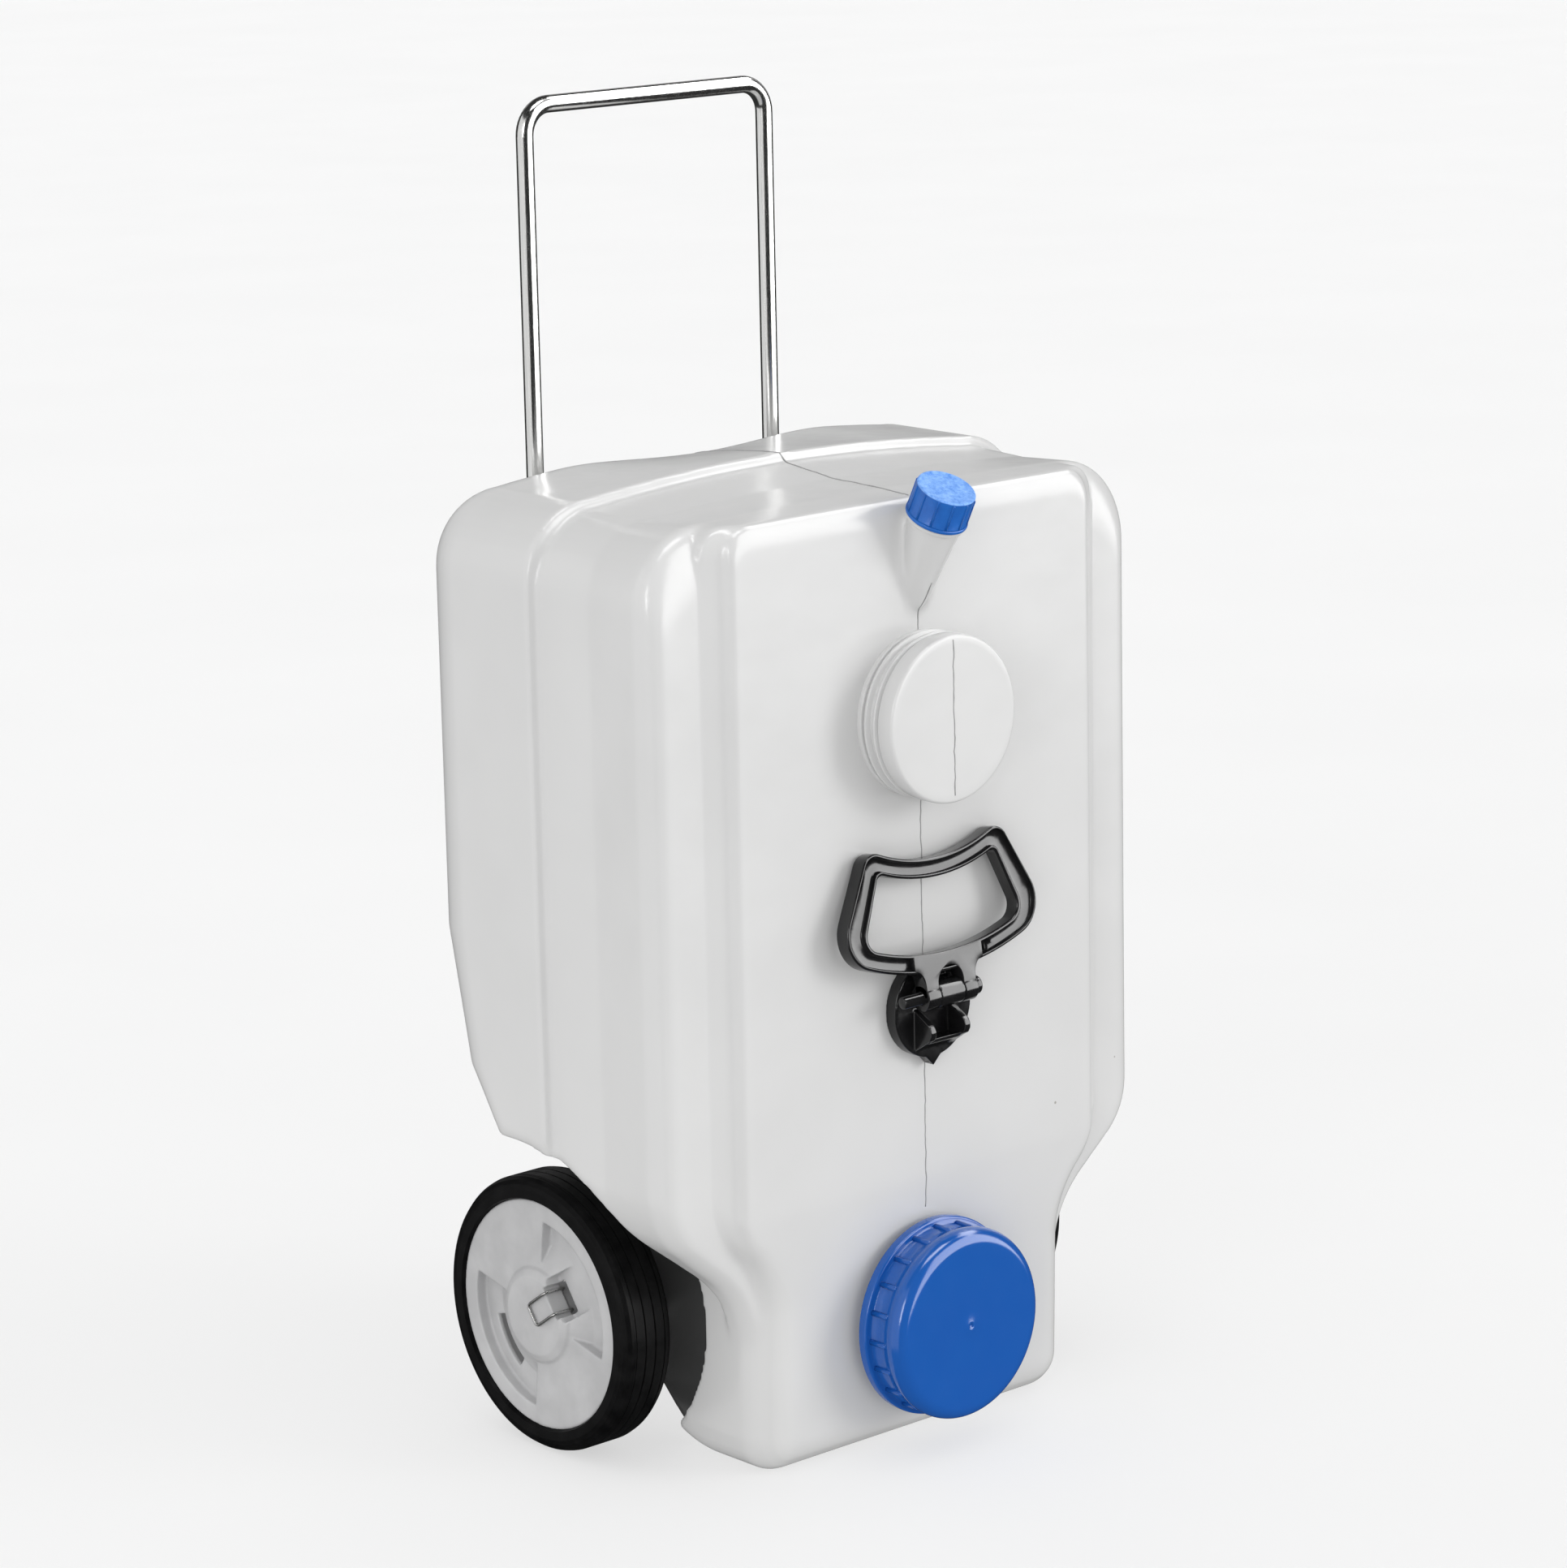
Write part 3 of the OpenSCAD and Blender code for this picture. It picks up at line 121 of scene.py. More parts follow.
def add_object(name, verts, faces, smooth_shading=True):
    mesh = bpy.data.meshes.new(name)
    mesh.from_pydata([tuple(v) for v in verts], [], faces)
    mesh.validate()
    obj = bpy.data.objects.new(name, mesh)
    SCENE.collection.objects.link(obj)
    bm = bmesh.new()
    bm.from_mesh(mesh)
    bmesh.ops.remove_doubles(bm, verts=bm.verts, dist=1e-7)
    bmesh.ops.recalc_face_normals(bm, faces=bm.faces)
    for f in bm.faces:
        f.smooth = smooth_shading
    bm.to_mesh(mesh)
    bm.free()
    return obj


def apply_modifiers(obj):
    depsgraph = bpy.context.evaluated_depsgraph_get()
    mesh = bpy.data.meshes.new_from_object(obj.evaluated_get(depsgraph))
    obj.modifiers.clear()
    old = obj.data
    obj.data = mesh
    bpy.data.meshes.remove(old)
    return obj


def combine(obj, others, operation):
    for other in others:
        mod = obj.modifiers.new("combine", "BOOLEAN")
        mod.operation = operation
        mod.solver = "EXACT"
        mod.object = other
    apply_modifiers(obj)
    for other in others:
        bpy.data.objects.remove(other)
    return obj


def lathe(profile, steps=96, radius_at=None):
    """Points and faces of a profile of (radius, z) turned about z."""
    verts, faces = [], []
    count = len(profile)
    for k in range(steps):
        a = 2 * math.pi * k / steps
        for r, z in profile:
            rr = radius_at(r, z, a) if radius_at else r
            verts.append((rr * math.cos(a), rr * math.sin(a), z))
    for k in range(steps):
        n = (k + 1) % steps
        for i in range(count - 1):
            faces.append((k * count + i, n * count + i, n * count + i + 1, k * count + i + 1))
    return verts, faces


def tube_faces(rows, count, wrap=False):
    """Faces between rings of count points, the last joined to the first where wrap is set."""
    faces = []
    for k in range(rows if wrap else rows - 1):
        n = (k + 1) % rows
        for i in range(count):
            j = (i + 1) % count
            faces.append((k * count + i, k * count + j, n * count + j, n * count + i))
    return faces


def end_faces(rows, count):
    return [tuple(range(count)), tuple((rows - 1) * count + i for i in range(count))]


def mould(obj, voxel, steps):
    """Remeshes and softens a piece, so that every edge is rounded as in the mould."""
    remesh = obj.modifiers.new("remesh", "REMESH")
    remesh.mode = "VOXEL"
    remesh.voxel_size = voxel * MM
    remesh.use_smooth_shade = True
    soften = obj.modifiers.new("soften", "SMOOTH")
    soften.factor = SOFTEN_SHARE
    soften.iterations = steps
    return apply_modifiers(obj)


def arc(center, radius, start, end, steps=6):
    """Points of an arc in a profile, angles in degrees."""
    out = []
    for i in range(steps + 1):
        a = math.radians(start + (end - start) * i / steps)
        out.append((center[0] + radius * math.cos(a), center[1] + radius * math.sin(a)))
    return out


def on_panel(points, z):
    """From a frame whose z points out of the panel."""
    return [to_row((p[0], -p[2], z + p[1])) for p in points]


SPOUT_TURN = Matrix.Rotation(math.radians(SPOUT_LEAN), 3, "X")


def on_spout(points):
    """From a frame whose z points out of the spout, from the small cap's flange."""
    base = Vector((0, 0, SPOUT_Z)) + SPOUT_TURN @ Vector((0, 0, SPOUT_L))
    return [to_row(base + SPOUT_TURN @ Vector(p)) for p in points]


# Tank skin: rows of outlines, front to back

def sway(wide):
    return min(SHELF_LEAN, math.degrees(math.acos(1 - max(wide - LOWER_HALF, SMALL_R) / SWAY_R)))


def shelf_z(wide):
    lean = math.radians(sway(wide))
    run = max(wide - LOWER_HALF - SWAY_R * (1 - math.cos(lean)), 0) / math.sin(lean)
    return WAIST_Z + SWAY_R * math.sin(lean) + run * math.cos(lean)


REAR_SHELF_Z = shelf_z(TANK_HALF + REAR_STEP)
PANEL_SHELF_Z = shelf_z(PANEL_HALF) + PANEL_LIFT
KINK_ZS = [REAR_SHELF_Z + h for h in KINK_HEIGHTS]


def back_y(z):
    return float(np.interp(
        z, [REAR_SHELF_Z - SHELF_R] + KINK_ZS,
        [LOWER_D, TANK_D - LOWER_SLOPE, TANK_D - UPPER_SLOPE, TANK_D]))


def row_y(y, z):
    """Where a row lies at a height: the lower front is set back, the lower back slopes forward."""
    if y < LEDGE_END:
        low = float(np.interp(z, [WAIST_Z - LOWER_EDGE_R, PANEL_SHELF_Z], [1, 0]))
        return y + LOWER_SET * (1 - y / LEDGE_END) * low
    if y <= REAR_SET:
        return y
    return REAR_SET + (y - REAR_SET) * (back_y(z) - REAR_SET) / (TANK_D - REAR_SET)


def low_edge(y):
    """Inset of the lower body's rounded front edge."""
    left = max(LOWER_EDGE_R + LOWER_SET - row_y(y, 0), 0)
    return LOWER_EDGE_R - math.sqrt(max(LOWER_EDGE_R ** 2 - left ** 2, 0))


def rise_z(run):
    """Height of the bottom's rise towards the back."""
    turn = RISE_R * math.sqrt(0.5)
    if run <= 0:
        return 0
    if run < turn:
        return RISE_R - math.sqrt(RISE_R ** 2 - run ** 2)
    return RISE_R - turn + run - turn


def scoop(y, x, rear):
    """Depth of the scoop in the back edge of the top."""
    deep = (max(y - REAR_SET, 0) / (TANK_D - REAR_SET)) ** 1.5
    return rear * SCOOP_D * deep * max(1 - (2 * x / SCOOP_W) ** 2, 0) ** 2


def panel_rows():
    """Rows of the front panel.

    Each has y, half width, insets at side, lower side, top and bottom, rear share and the waist's lift.
    """
    rows = []
    for s in np.linspace(0, 1, 9):
        a = math.radians(90 * s)
        y = PANEL_EDGE_R * (1 - math.cos(a))
        edge, low = 1 - math.sin(a), low_edge(y)
        rows.append((y, PANEL_HALF, PANEL_EDGE_R * edge, low, PANEL_TOP_R * edge, low, 0, PANEL_LIFT))
    for y, sink in ((LEDGE_SET, 0), (LEDGE_END, 0), (2 * LEDGE_END, PANEL_SINK)):
        low = low_edge(y) + sink
        rows.append((y, PANEL_HALF + FLANK_W, sink, low, sink, low, 0, PANEL_LIFT))
    return rows


def skin_rows():
    """Rows of the body behind the panel, as those of the panel."""
    rows = []
    for s in np.linspace(0, 1, 9):
        a = math.radians(90 * s)
        y = LEDGE_SET + LEDGE_FALL + LEDGE_R * (1 - math.cos(a))
        edge = 1 - math.sin(a)
        rows.append((y, TANK_HALF, LEDGE_R * edge, low_edge(y), LEDGE_TOP_R * edge, low_edge(y), 0, 0))
    for s in np.linspace(0, 1, 17)[1:]:
        dip = VALLEY * (1 - abs(2 * s - 1))
        rows.append((LEDGE_END + (REAR_SET - LEDGE_END) * s, TANK_HALF, dip, 0, dip, 0, 0, 0))
    start = REAR_SET + STEP_RUN
    for s in (0.25, 0.5, 0.75):
        rows.append((REAR_SET + STEP_RUN * s, TANK_HALF + REAR_STEP * smooth(s), 0, 0, 0, 0, smooth(s), 0))
    for s in np.linspace(0, 1, 10):
        rows.append((start + (TANK_D - BACK_R - start) * s, TANK_HALF + REAR_STEP, 0, 0, 0, 0, 1, 0))
    for s in np.linspace(0, 1, 11)[1:]:
        a = math.radians(90 * s)
        inset = BACK_R * (1 - math.cos(a))
        rows.append((TANK_D - BACK_R * (1 - math.sin(a)), TANK_HALF + REAR_STEP, inset,
                     inset * REAR_LOWER_IN_SHARE, inset, inset * REAR_FLOOR_IN_SHARE, 1, 0))
    return rows


def half_outline(row, top_r):
    """Right half of one outline, from the bottom's middle to the top's middle."""
    y, wide, side_in, low_in, top_in, bottom_in, rear, lift = row
    lean = math.radians(sway(wide))
    waist, shelf = WAIST_Z + lift, shelf_z(wide) + lift
    rise = CROWN * max(rear, min(y / REAR_SET, 1))
    roof = TANK_H - CROWN - REAR_STEP * (1 - rear) - top_in
    ground = min(rise_z(row_y(y, WAIST_Z) - RISE_SET) + bottom_in, WAIST_Z - 2 * SMALL_R)
    low_x = LOWER_HALF - low_in
    low_r = min(max(FLOOR_R - low_in, SMALL_R), (WAIST_Z - ground) / 2)
    side_x = wide - side_in
    corner_r = max(top_r - side_in, SMALL_R)
    corner_x = side_x - corner_r
    out = [(low_x * s, ground) for s in (0, 0.3, 0.6)]
    for s in np.linspace(0, 1, 9):
        a = math.radians(90 * s)
        out.append((low_x - low_r * (1 - math.sin(a)), ground + low_r * (1 - math.cos(a))))
    for s in np.linspace(0, 1, 10):
        inset = low_in + (side_in - low_in) * s / 2
        out.append((LOWER_HALF + WAIST_R - (WAIST_R + inset) * math.cos(lean * s),
                    waist + (WAIST_R + inset) * math.sin(lean * s)))
    for s in np.linspace(0, 1, 10):
        inset = side_in + (low_in - side_in) * (1 - s) / 2
        r = max(SHELF_R - inset, SMALL_R)
        a = lean * (1 - s)
        out.append((wide - inset - r * (1 - math.cos(a)), shelf - r * math.sin(a)))
    out += [(side_x, z) for z in KINK_ZS]
    out += [(side_x, KINK_ZS[2] + (roof - corner_r - KINK_ZS[2]) * s) for s in (0.33, 0.67)]
    for s in np.linspace(0, 1, 11):
        a = math.radians(90 * s)
        out.append((corner_x + corner_r * math.cos(a), roof - corner_r * (1 - math.sin(a))))
    for s in np.linspace(0.94, 0, 16):
        out.append((corner_x * s, roof + rise * (1 - s * s) - scoop(y, corner_x * s, rear)))
    return out


def tank_loft(name, rows, top_r):
    """A closed skin through the rows' outlines."""
    verts = []
    for row in rows:
        half = half_outline(row, top_r)
        ring = half + [(-x, z) for x, z in half[-2:0:-1]]
        verts += [to_row((x, row_y(row[0], z), z)) for x, z in ring]
    n, count = len(half), len(half) * 2 - 2
    faces = tube_faces(len(rows), count)
    for first, flip in ((0, False), ((len(rows) - 1) * count, True)):
        for i in range(n - 1):
            loop = []
            for k in (i, (count - i) % count, (count - i - 1) % count, i + 1):
                if first + k not in loop:
                    loop.append(first + k)
            faces.append(tuple(loop[::-1] if flip else loop))
    return add_object(name, verts, faces)


def spout_cone():
    foot = Vector((0, SPOUT_FOOT_R * 0.4, SPOUT_Z + SPOUT_FOOT_H))
    head = Vector((0, 0, SPOUT_Z)) + SPOUT_TURN @ Vector((0, 0, SPOUT_L))
    run = head - foot
    length = run.length - SHOULDER_SET
    profile = [(0, -SPOUT_FOOT_R)] + arc((0, 0), SPOUT_FOOT_R, -75, 0, 8)
    widen = SPOUT_SHOULDER_R - SPOUT_FOOT_R
    profile += [(SPOUT_FOOT_R + widen * s, length * s) for s in (0.25, 0.5, 0.75, 1)]
    profile += [(0, length)]
    verts, faces = lathe(profile, 48)
    turn = run.to_track_quat("Z", "Y")
    return add_object("spout_cone", [to_row(foot + turn @ Vector(v)) for v in verts], faces)


def well(side, radius, low):
    """A round cut beside the lower body, from low outwards, that leaves a boss for the axle's washer."""
    bottom = [(0, 0), (RECESS_BOSS_R, 0), (RECESS_BOSS_R, low)] if low else [(0, 0)]
    verts, faces = lathe(bottom + [(radius, low), (radius, TANK_HALF), (0, TANK_HALF)], 128)
    points = [to_row((side * (LOWER_HALF + z), AXLE_SET + x, AXLE_Z + y)) for x, y, z in verts]
    return add_object("well", points, faces)


RIM_STEPS, RIM_REACH, RIM_GAIN, RIM_LEVELS = 24, 9, 1.4, 5


def tank_body():
    """The blow-moulded skin."""
    body = tank_loft("tank_body", skin_rows(), TOP_R)
    combine(body, [tank_loft("panel", panel_rows(), PANEL_CORNER_R)], "UNION")
    for radius, low in ((WELL_R, 0), (RECESS_R, -RECESS_DEEP)):
        combine(body, [well(side, radius, low) for side in (-1, 1)], "DIFFERENCE")
    combine(body, [spout_cone()], "UNION")
    mould(body, TANK_VOXEL, SOFTEN_STEPS)
    soften_wells(body)
    return body


def soften_wells(body):
    """Rounds the wheel wells' edges further."""
    coords = np.empty(len(body.data.vertices) * 3)
    body.data.vertices.foreach_get("co", coords)
    x, y, z = coords.reshape(-1, 3).T / MM
    off = np.abs(np.hypot(y - PANEL_Y - AXLE_SET, z - AXLE_Z) - WELL_R)
    weights = np.clip(RIM_GAIN * (1 - off / RIM_REACH), 0, 1) * (np.abs(x) > LOWER_HALF + RIM_REACH / 2)
    group = body.vertex_groups.new(name="well_edges")
    for level in range(1, RIM_LEVELS + 1):
        low, high = (level - 1) / RIM_LEVELS, level / RIM_LEVELS
        picked = np.nonzero((weights > low) & (weights <= high))[0]
        group.add(picked.tolist(), high, "REPLACE")
    soften = body.modifiers.new("well_edges", "SMOOTH")
    soften.factor = SOFTEN_SHARE
    soften.iterations = RIM_STEPS
    soften.vertex_group = group.name
    apply_modifiers(body)
    body.vertex_groups.clear()


def helix(in_r, in_w, out_r, out_w, pitch, turns, start, steps=40):
    """A thread's ridge that winds up along z."""
    section = [(in_r, -in_w / 2), (out_r, -out_w / 2), (out_r, out_w / 2), (in_r, in_w / 2)]
    total = int(turns * steps)
    verts = []
    for k in range(total + 1):
        a = 2 * math.pi * turns * k / total
        fade = min(1, 6 * k / total, 6 * (total - k) / total)
        for r, w in section:
            rr = in_r + (r - in_r) * max(fade, 0.05)
            verts.append((rr * math.cos(a), rr * math.sin(a), start + w + pitch * turns * k / total))
    first, last = end_faces(total + 1, len(section))
    return verts, tube_faces(total + 1, len(section)) + [first[::-1], last]


def merged(*parts):
    verts, faces = [], []
    for v, f in parts:
        faces += [tuple(i + len(verts) for i in face) for face in f]
        verts += list(v)
    return verts, faces


def bevel_edges(obj, width, segments=2):
    mod = obj.modifiers.new("edges", "BEVEL")
    mod.width = width * MM
    mod.segments = segments
    mod.limit_method = "ANGLE"
    mod.angle_limit = math.radians(35)
    mod.harden_normals = False
    return apply_modifiers(obj)


def large_neck():
    root = LOWER_SET + 4
    flange_r = NECK_R + NECK_FLANGE
    profile = [(NECK_BORE_R, -root), (NECK_BORE_R, NECK_L), (NECK_R, NECK_L), (NECK_R, NECK_FLANGE_T),
               (flange_r, NECK_FLANGE_T), (flange_r, -root), (NECK_BORE_R, -root)]
    thread = helix(
        NECK_R - 1, THREAD_ROOT_W, NECK_R + THREAD_H, THREAD_CREST_W, THREAD_PITCH, 1.6, THREAD_START)
    verts, faces = merged(lathe(profile), thread)
    return bevel_edges(add_object("large_neck", on_panel(verts, CAP_Z), faces), 0.5)


def spare_neck():
    crest = NECK_R + THREAD_H - 0.5
    root = NECK_R - 1
    flange_r = NECK_R + NECK_FLANGE
    gap = (SPARE_L - SPARE_END_L - NECK_FLANGE_T) / 2
    profile = [(flange_r, -4), (flange_r, NECK_FLANGE_T - 0.6)]
    profile += [(flange_r - 0.6, NECK_FLANGE_T), (root, NECK_FLANGE_T)]
    for i in (0.5, 1.5):
        mid = NECK_FLANGE_T + gap * i
        profile += [(root, mid - 1.6), (crest, mid - 0.8), (crest, mid + 0.8), (root, mid + 1.6)]
    plain = SPARE_L - SPARE_END_L
    profile += [(root, plain), (crest, plain), (crest, SPARE_L - SPARE_EDGE_R)]
    profile += arc((crest - SPARE_EDGE_R, SPARE_L - SPARE_EDGE_R), SPARE_EDGE_R, 15, 90, 5)
    profile += [(crest * s, SPARE_L) for s in (0.9, 0.6, 0.3, 0)]
    verts, faces = lathe(profile, 128)
    return bevel_edges(add_object("spare_neck", on_panel(verts, SPARE_Z), faces), 0.45)


def spout_neck():
    collar_r, waist_r = SPOUT_SHOULDER_R + 1.2, SPOUT_SHOULDER_R - 0.6
    profile = [(SPOUT_BORE_R, -6), (SPOUT_BORE_R, SPOUT_NECK_L), (SPOUT_R, SPOUT_NECK_L), (SPOUT_R, -0.6),
               (collar_r, -0.6), (collar_r, -2.4), (waist_r, -3.2), (waist_r, -6), (SPOUT_BORE_R, -6)]
    thread = helix(SPOUT_R - 0.6, SMALL_ROOT_W, SPOUT_R + 1.2, SMALL_CREST_W, SMALL_PITCH, 1.5, SMALL_START)
    verts, faces = merged(lathe(profile, 64), thread)
    return bevel_edges(add_object("spout_neck", on_spout(verts), faces), 0.3)


# Caps

def ridge(reach, start, end, radius, steps=10):
    """A half-sunk grip rib along z with a round end."""
    stations = [(start, radius)] + [(end - radius + z, r) for r, z in arc((0, 0), radius, 0, 85, 5)]
    verts = []
    for z, r in stations:
        for i in range(steps):
            a = 2 * math.pi * i / steps
            verts.append((reach + r * math.cos(a), r * math.sin(a), z))
    return verts, tube_faces(len(stations), steps) + end_faces(len(stations), steps)


def turned(part, angle):
    c, s = math.cos(angle), math.sin(angle)
    return [(c * x - s * y, s * x + c * y, z) for x, y, z in part[0]], part[1]


def ring_of(part, count, first=0.0):
    return [turned(part, first + 2 * math.pi * k / count) for k in range(count)]


def large_cap():
    grip_r, body_end = CAP_R - GRIP_DEEP, CAP_L - CAP_EDGE_R
    inner_z = CAP_L - CAP_FRONT_T
    profile = [(0, inner_z), (CAP_BORE_R - 1, inner_z), (CAP_BORE_R, inner_z - 1), (CAP_BORE_R, 0.4)]
    profile += [(CAP_BORE_R + 0.4, 0), (CAP_FLANGE_R - 0.8, 0)]
    profile += arc((CAP_FLANGE_R - 0.8, 0.8), 0.8, -60, 0, 3)
    profile += arc((CAP_FLANGE_R - 1.4, CAP_FLANGE_T - 1.4), 1.4, 0, 90, 5)
    profile += [(grip_r + 0.6, CAP_FLANGE_T), (grip_r, CAP_FLANGE_T + 0.6), (grip_r, body_end - GRIP_SWELL)]
    for t in (0.2, 0.4, 0.6, 0.8, 1):
        profile.append((grip_r + GRIP_DEEP * smooth(t), body_end - GRIP_SWELL * (1 - t)))
    profile += arc((CAP_R - CAP_EDGE_R, CAP_L - CAP_EDGE_R), CAP_EDGE_R, 6, 90, 14)
    profile += [(r, CAP_L) for r in (40, 30, 20, 10, 3.2)]
    profile += [(2.6, CAP_L + 0.15), (1.5, CAP_L + 0.2), (1.1, CAP_L - 0.5), (0, CAP_L - 0.7)]
    rib = ridge(CAP_R - GRIP_W / 2 - 0.3, CAP_FLANGE_T - 1, body_end - GRIP_SWELL / 2, GRIP_W / 2, 16)
    thread = helix(
        CAP_BORE_R + 0.6, THREAD_ROOT_W, NECK_R + 0.4, THREAD_CREST_W, THREAD_PITCH, 1.28, THREAD_START)
    verts, faces = merged(lathe(profile, 144), thread, *ring_of(rib, GRIP_COUNT, 0.05))
    points = [(x, y, z + CAP_BACK) for x, y, z in verts]
    return add_object("large_cap_form", on_panel(points, CAP_Z), faces)


def small_cap():
    inner_z, rim = SMALL_H - SMALL_FRONT_T, 1.1
    profile = [(0, inner_z), (SMALL_BORE_R, inner_z), (SMALL_BORE_R, 0.3), (SMALL_BORE_R + 0.3, 0)]
    profile += [(SMALL_FLANGE_R - 0.5, 0)] + arc((SMALL_FLANGE_R - 0.5, 0.5), 0.5, -45, 0, 3)
    profile += arc((SMALL_FLANGE_R - 0.6, SMALL_FLANGE_T - 0.6), 0.6, 0, 90, 4)
    profile += [(SMALL_CAP_R + 0.5, SMALL_FLANGE_T), (SMALL_CAP_R, SMALL_FLANGE_T + 0.5)]
    profile += arc((SMALL_CAP_R - rim, SMALL_H - rim), rim, 0, 90, 6)
    profile += [(SMALL_CAP_R - 1.8, SMALL_H - 0.1), (SMALL_CAP_R - 2.6, SMALL_H - 0.55)]
    profile += [(r, SMALL_H - 0.6) for r in (11, 7, 3, 0)]
    rib = ridge(SMALL_CAP_R - 0.05, SMALL_FLANGE_T - 0.5, SMALL_H - 1.2, SMALL_RIB_R)
    thread = helix(
        SMALL_BORE_R + 0.5, SMALL_ROOT_W, SPOUT_R + 0.4, SMALL_CREST_W, SMALL_PITCH, 1.2, SMALL_START)
    verts, faces = merged(lathe(profile, 96), thread, *ring_of(rib, SMALL_RIB_COUNT, 0.1))
    return add_object("small_cap_form", on_spout(verts), faces)


# Carry handle

LOOP_TURN = Matrix.Rotation(math.radians(-LOOP_LEAN), 3, "X")


def on_loop(points):
    """From the loop's own frame: across, up from the pin, out of its face."""
    pin = Vector((0, -HINGE_REACH, HINGE_Z))
    return [to_row(pin + LOOP_TURN @ Vector((u, -w, v))) for u, v, w in points]


def loop_outline(in_r, out_r, half, corner, top, steps=12):
    """A rounded sector of a ring that hangs below its middle."""
    in_a = half - math.degrees(math.asin(top / (in_r + top)))
    out_a = half - math.degrees(math.asin(corner / (out_r - corner)))

    def polar(r, a):
        return Vector((r * math.sin(math.radians(a)), -r * math.cos(math.radians(a))))

    right = []
    for middle, r, start, end in (
        (Vector((0, 0)), out_r, 0, out_a),
        (polar(out_r - corner, out_a), corner, out_a, half + 90),
        (polar(in_r + top, in_a), top, half + 90, in_a + 180),
        (Vector((0, 0)), in_r, in_a, 0),
    ):
        for k in range(1 if right else 0, steps + 1):
            right.append(middle + polar(r, start + (end - start) * k / steps))
    left = [Vector((-p.x, p.y)) for p in right[-2:0:-1]]
    return [(p.x, p.y + LOOP_RISE) for p in right + left]


def loop_outer(inset):
    return loop_outline(
        LOOP_UPPER_R + inset, LOOP_LOWER_R - inset, LOOP_HALF - math.degrees(math.atan(inset / LOOP_LOWER_R)),
        LOOP_CORNER_R - inset, LOOP_TOP_R - inset)


def loop_inner(inset):
    band = LOOP_BAND - inset
    return loop_outline(
        LOOP_UPPER_R + band, LOOP_LOWER_R - band, LOOP_HALF - math.degrees(math.atan(band / LOOP_UPPER_R)),
        LOOP_CORNER_R - band, LOOP_TOP_R - band / 2)


def loop_band():
    """The loop's band: a section with rounded rims and a channel, carried round its outline."""
    edge, fillet = 1.35, 0.5
    floor = LOOP_FRONT - CHANNEL_DEEP
    section = [(loop_outer, edge + r, LOOP_BACK + edge + w) for r, w in arc((0, 0), edge, 270, 180, 5)]
    section += [(loop_outer, edge + r, LOOP_FRONT - edge + w) for r, w in arc((0, 0), edge, 180, 90, 5)]
    lip = CHANNEL_RIM - fillet
    section += [(loop_outer, lip + r, LOOP_FRONT - fillet + w) for r, w in arc((0, 0), fillet, 90, 0, 3)]
    section += [(loop_outer, CHANNEL_RIM, floor + fillet), (loop_outer, CHANNEL_RIM + fillet, floor)]
    section += [(loop_inner, CHANNEL_RIM + fillet, floor), (loop_inner, CHANNEL_RIM, floor + fillet)]
    section += [(loop_inner, lip + r, LOOP_FRONT - fillet + w) for r, w in arc((0, 0), fillet, 0, 90, 3)]
    section += [(loop_inner, edge + r, LOOP_FRONT - edge + w) for r, w in arc((0, 0), edge, 90, 180, 5)]
    section += [(loop_inner, edge + r, LOOP_BACK + edge + w) for r, w in arc((0, 0), edge, 180, 270, 5)]
    verts = []
    for outline, inset, w in section:
        ring = outline(inset)
        verts += [(u, v, w) for u, v in ring]
    return verts, tube_faces(len(section), len(ring), True)


def extruded(outline, low, high):
    count = len(outline)
    verts = [(u, v, low) for u, v in outline] + [(u, v, high) for u, v in outline]
    faces = [tuple(range(count)), tuple(range(count, 2 * count))]
    for i in range(count):
        j = (i + 1) % count
        faces.append((i, j, count + j, count + i))
    return verts, faces


def lug_plate():
    """The plain middle of the lower arm with its two lugs and the notch between them."""
    def on_arc(r, x):
        return (x, LOOP_RISE - math.sqrt(r * r - x * x))

    upper_r = LOOP_LOWER_R - LOOP_BAND + 1
    right = [on_arc(upper_r, PLATE_HALF * k / 8) for k in range(9)]
    right += [on_arc(LOOP_LOWER_R - 1, PLATE_HALF)]
    top = right[-1][1]
    for k in range(9):
        a = math.radians(90 * (1 - k / 8))
        right.append((LUG_OUT + (LUG_FLARE - 1) * (1 - math.cos(a)),
                      LUG_FLARE_H + (top - LUG_FLARE_H) * math.sin(a)))
    right += [(LUG_OUT, 0), (LUG_IN, 0)]
    for k in range(13):
        a = math.radians(90 * k / 12)
        right.append((LUG_IN * math.cos(a), NOTCH_RISE + LUG_IN * math.sin(a)))
    outline = right + [(-u, v) for u, v in right[-2:0:-1]]
    return extruded(outline, LOOP_BACK + 0.4, LOOP_FRONT + 0.1)


def lug_barrel(side):
    wide = LUG_OUT - LUG_IN
    profile = [(PIN_BORE_R, 0), (KNUCKLE_R, 0), (KNUCKLE_R, wide), (PIN_BORE_R, wide), (PIN_BORE_R, 0)]
    verts, faces = lathe(profile, 64)
    start = LUG_IN if side > 0 else -LUG_OUT
    return [(start + z, y, x) for x, y, z in verts], faces


def carry_loop():
    band_verts, band_faces = loop_band()
    loop = add_object("carry_loop_form", on_loop(band_verts), band_faces)
    (left, right), (low, high) = LOOP_SLOT
    corners = [(left, low), (right, low), (right, high), (left, high)]
    verts, faces = extruded(corners, 2 * LOOP_BACK, 2 * LOOP_FRONT)
    combine(loop, [add_object("loop_slot", on_loop(verts), faces)], "DIFFERENCE")
    verts, faces = merged(lug_plate(), lug_barrel(-1), lug_barrel(1))
    lugs = bevel_edges(add_object("carry_loop_lugs", on_loop(verts), faces), 0.5, 3)
    return loop, lugs


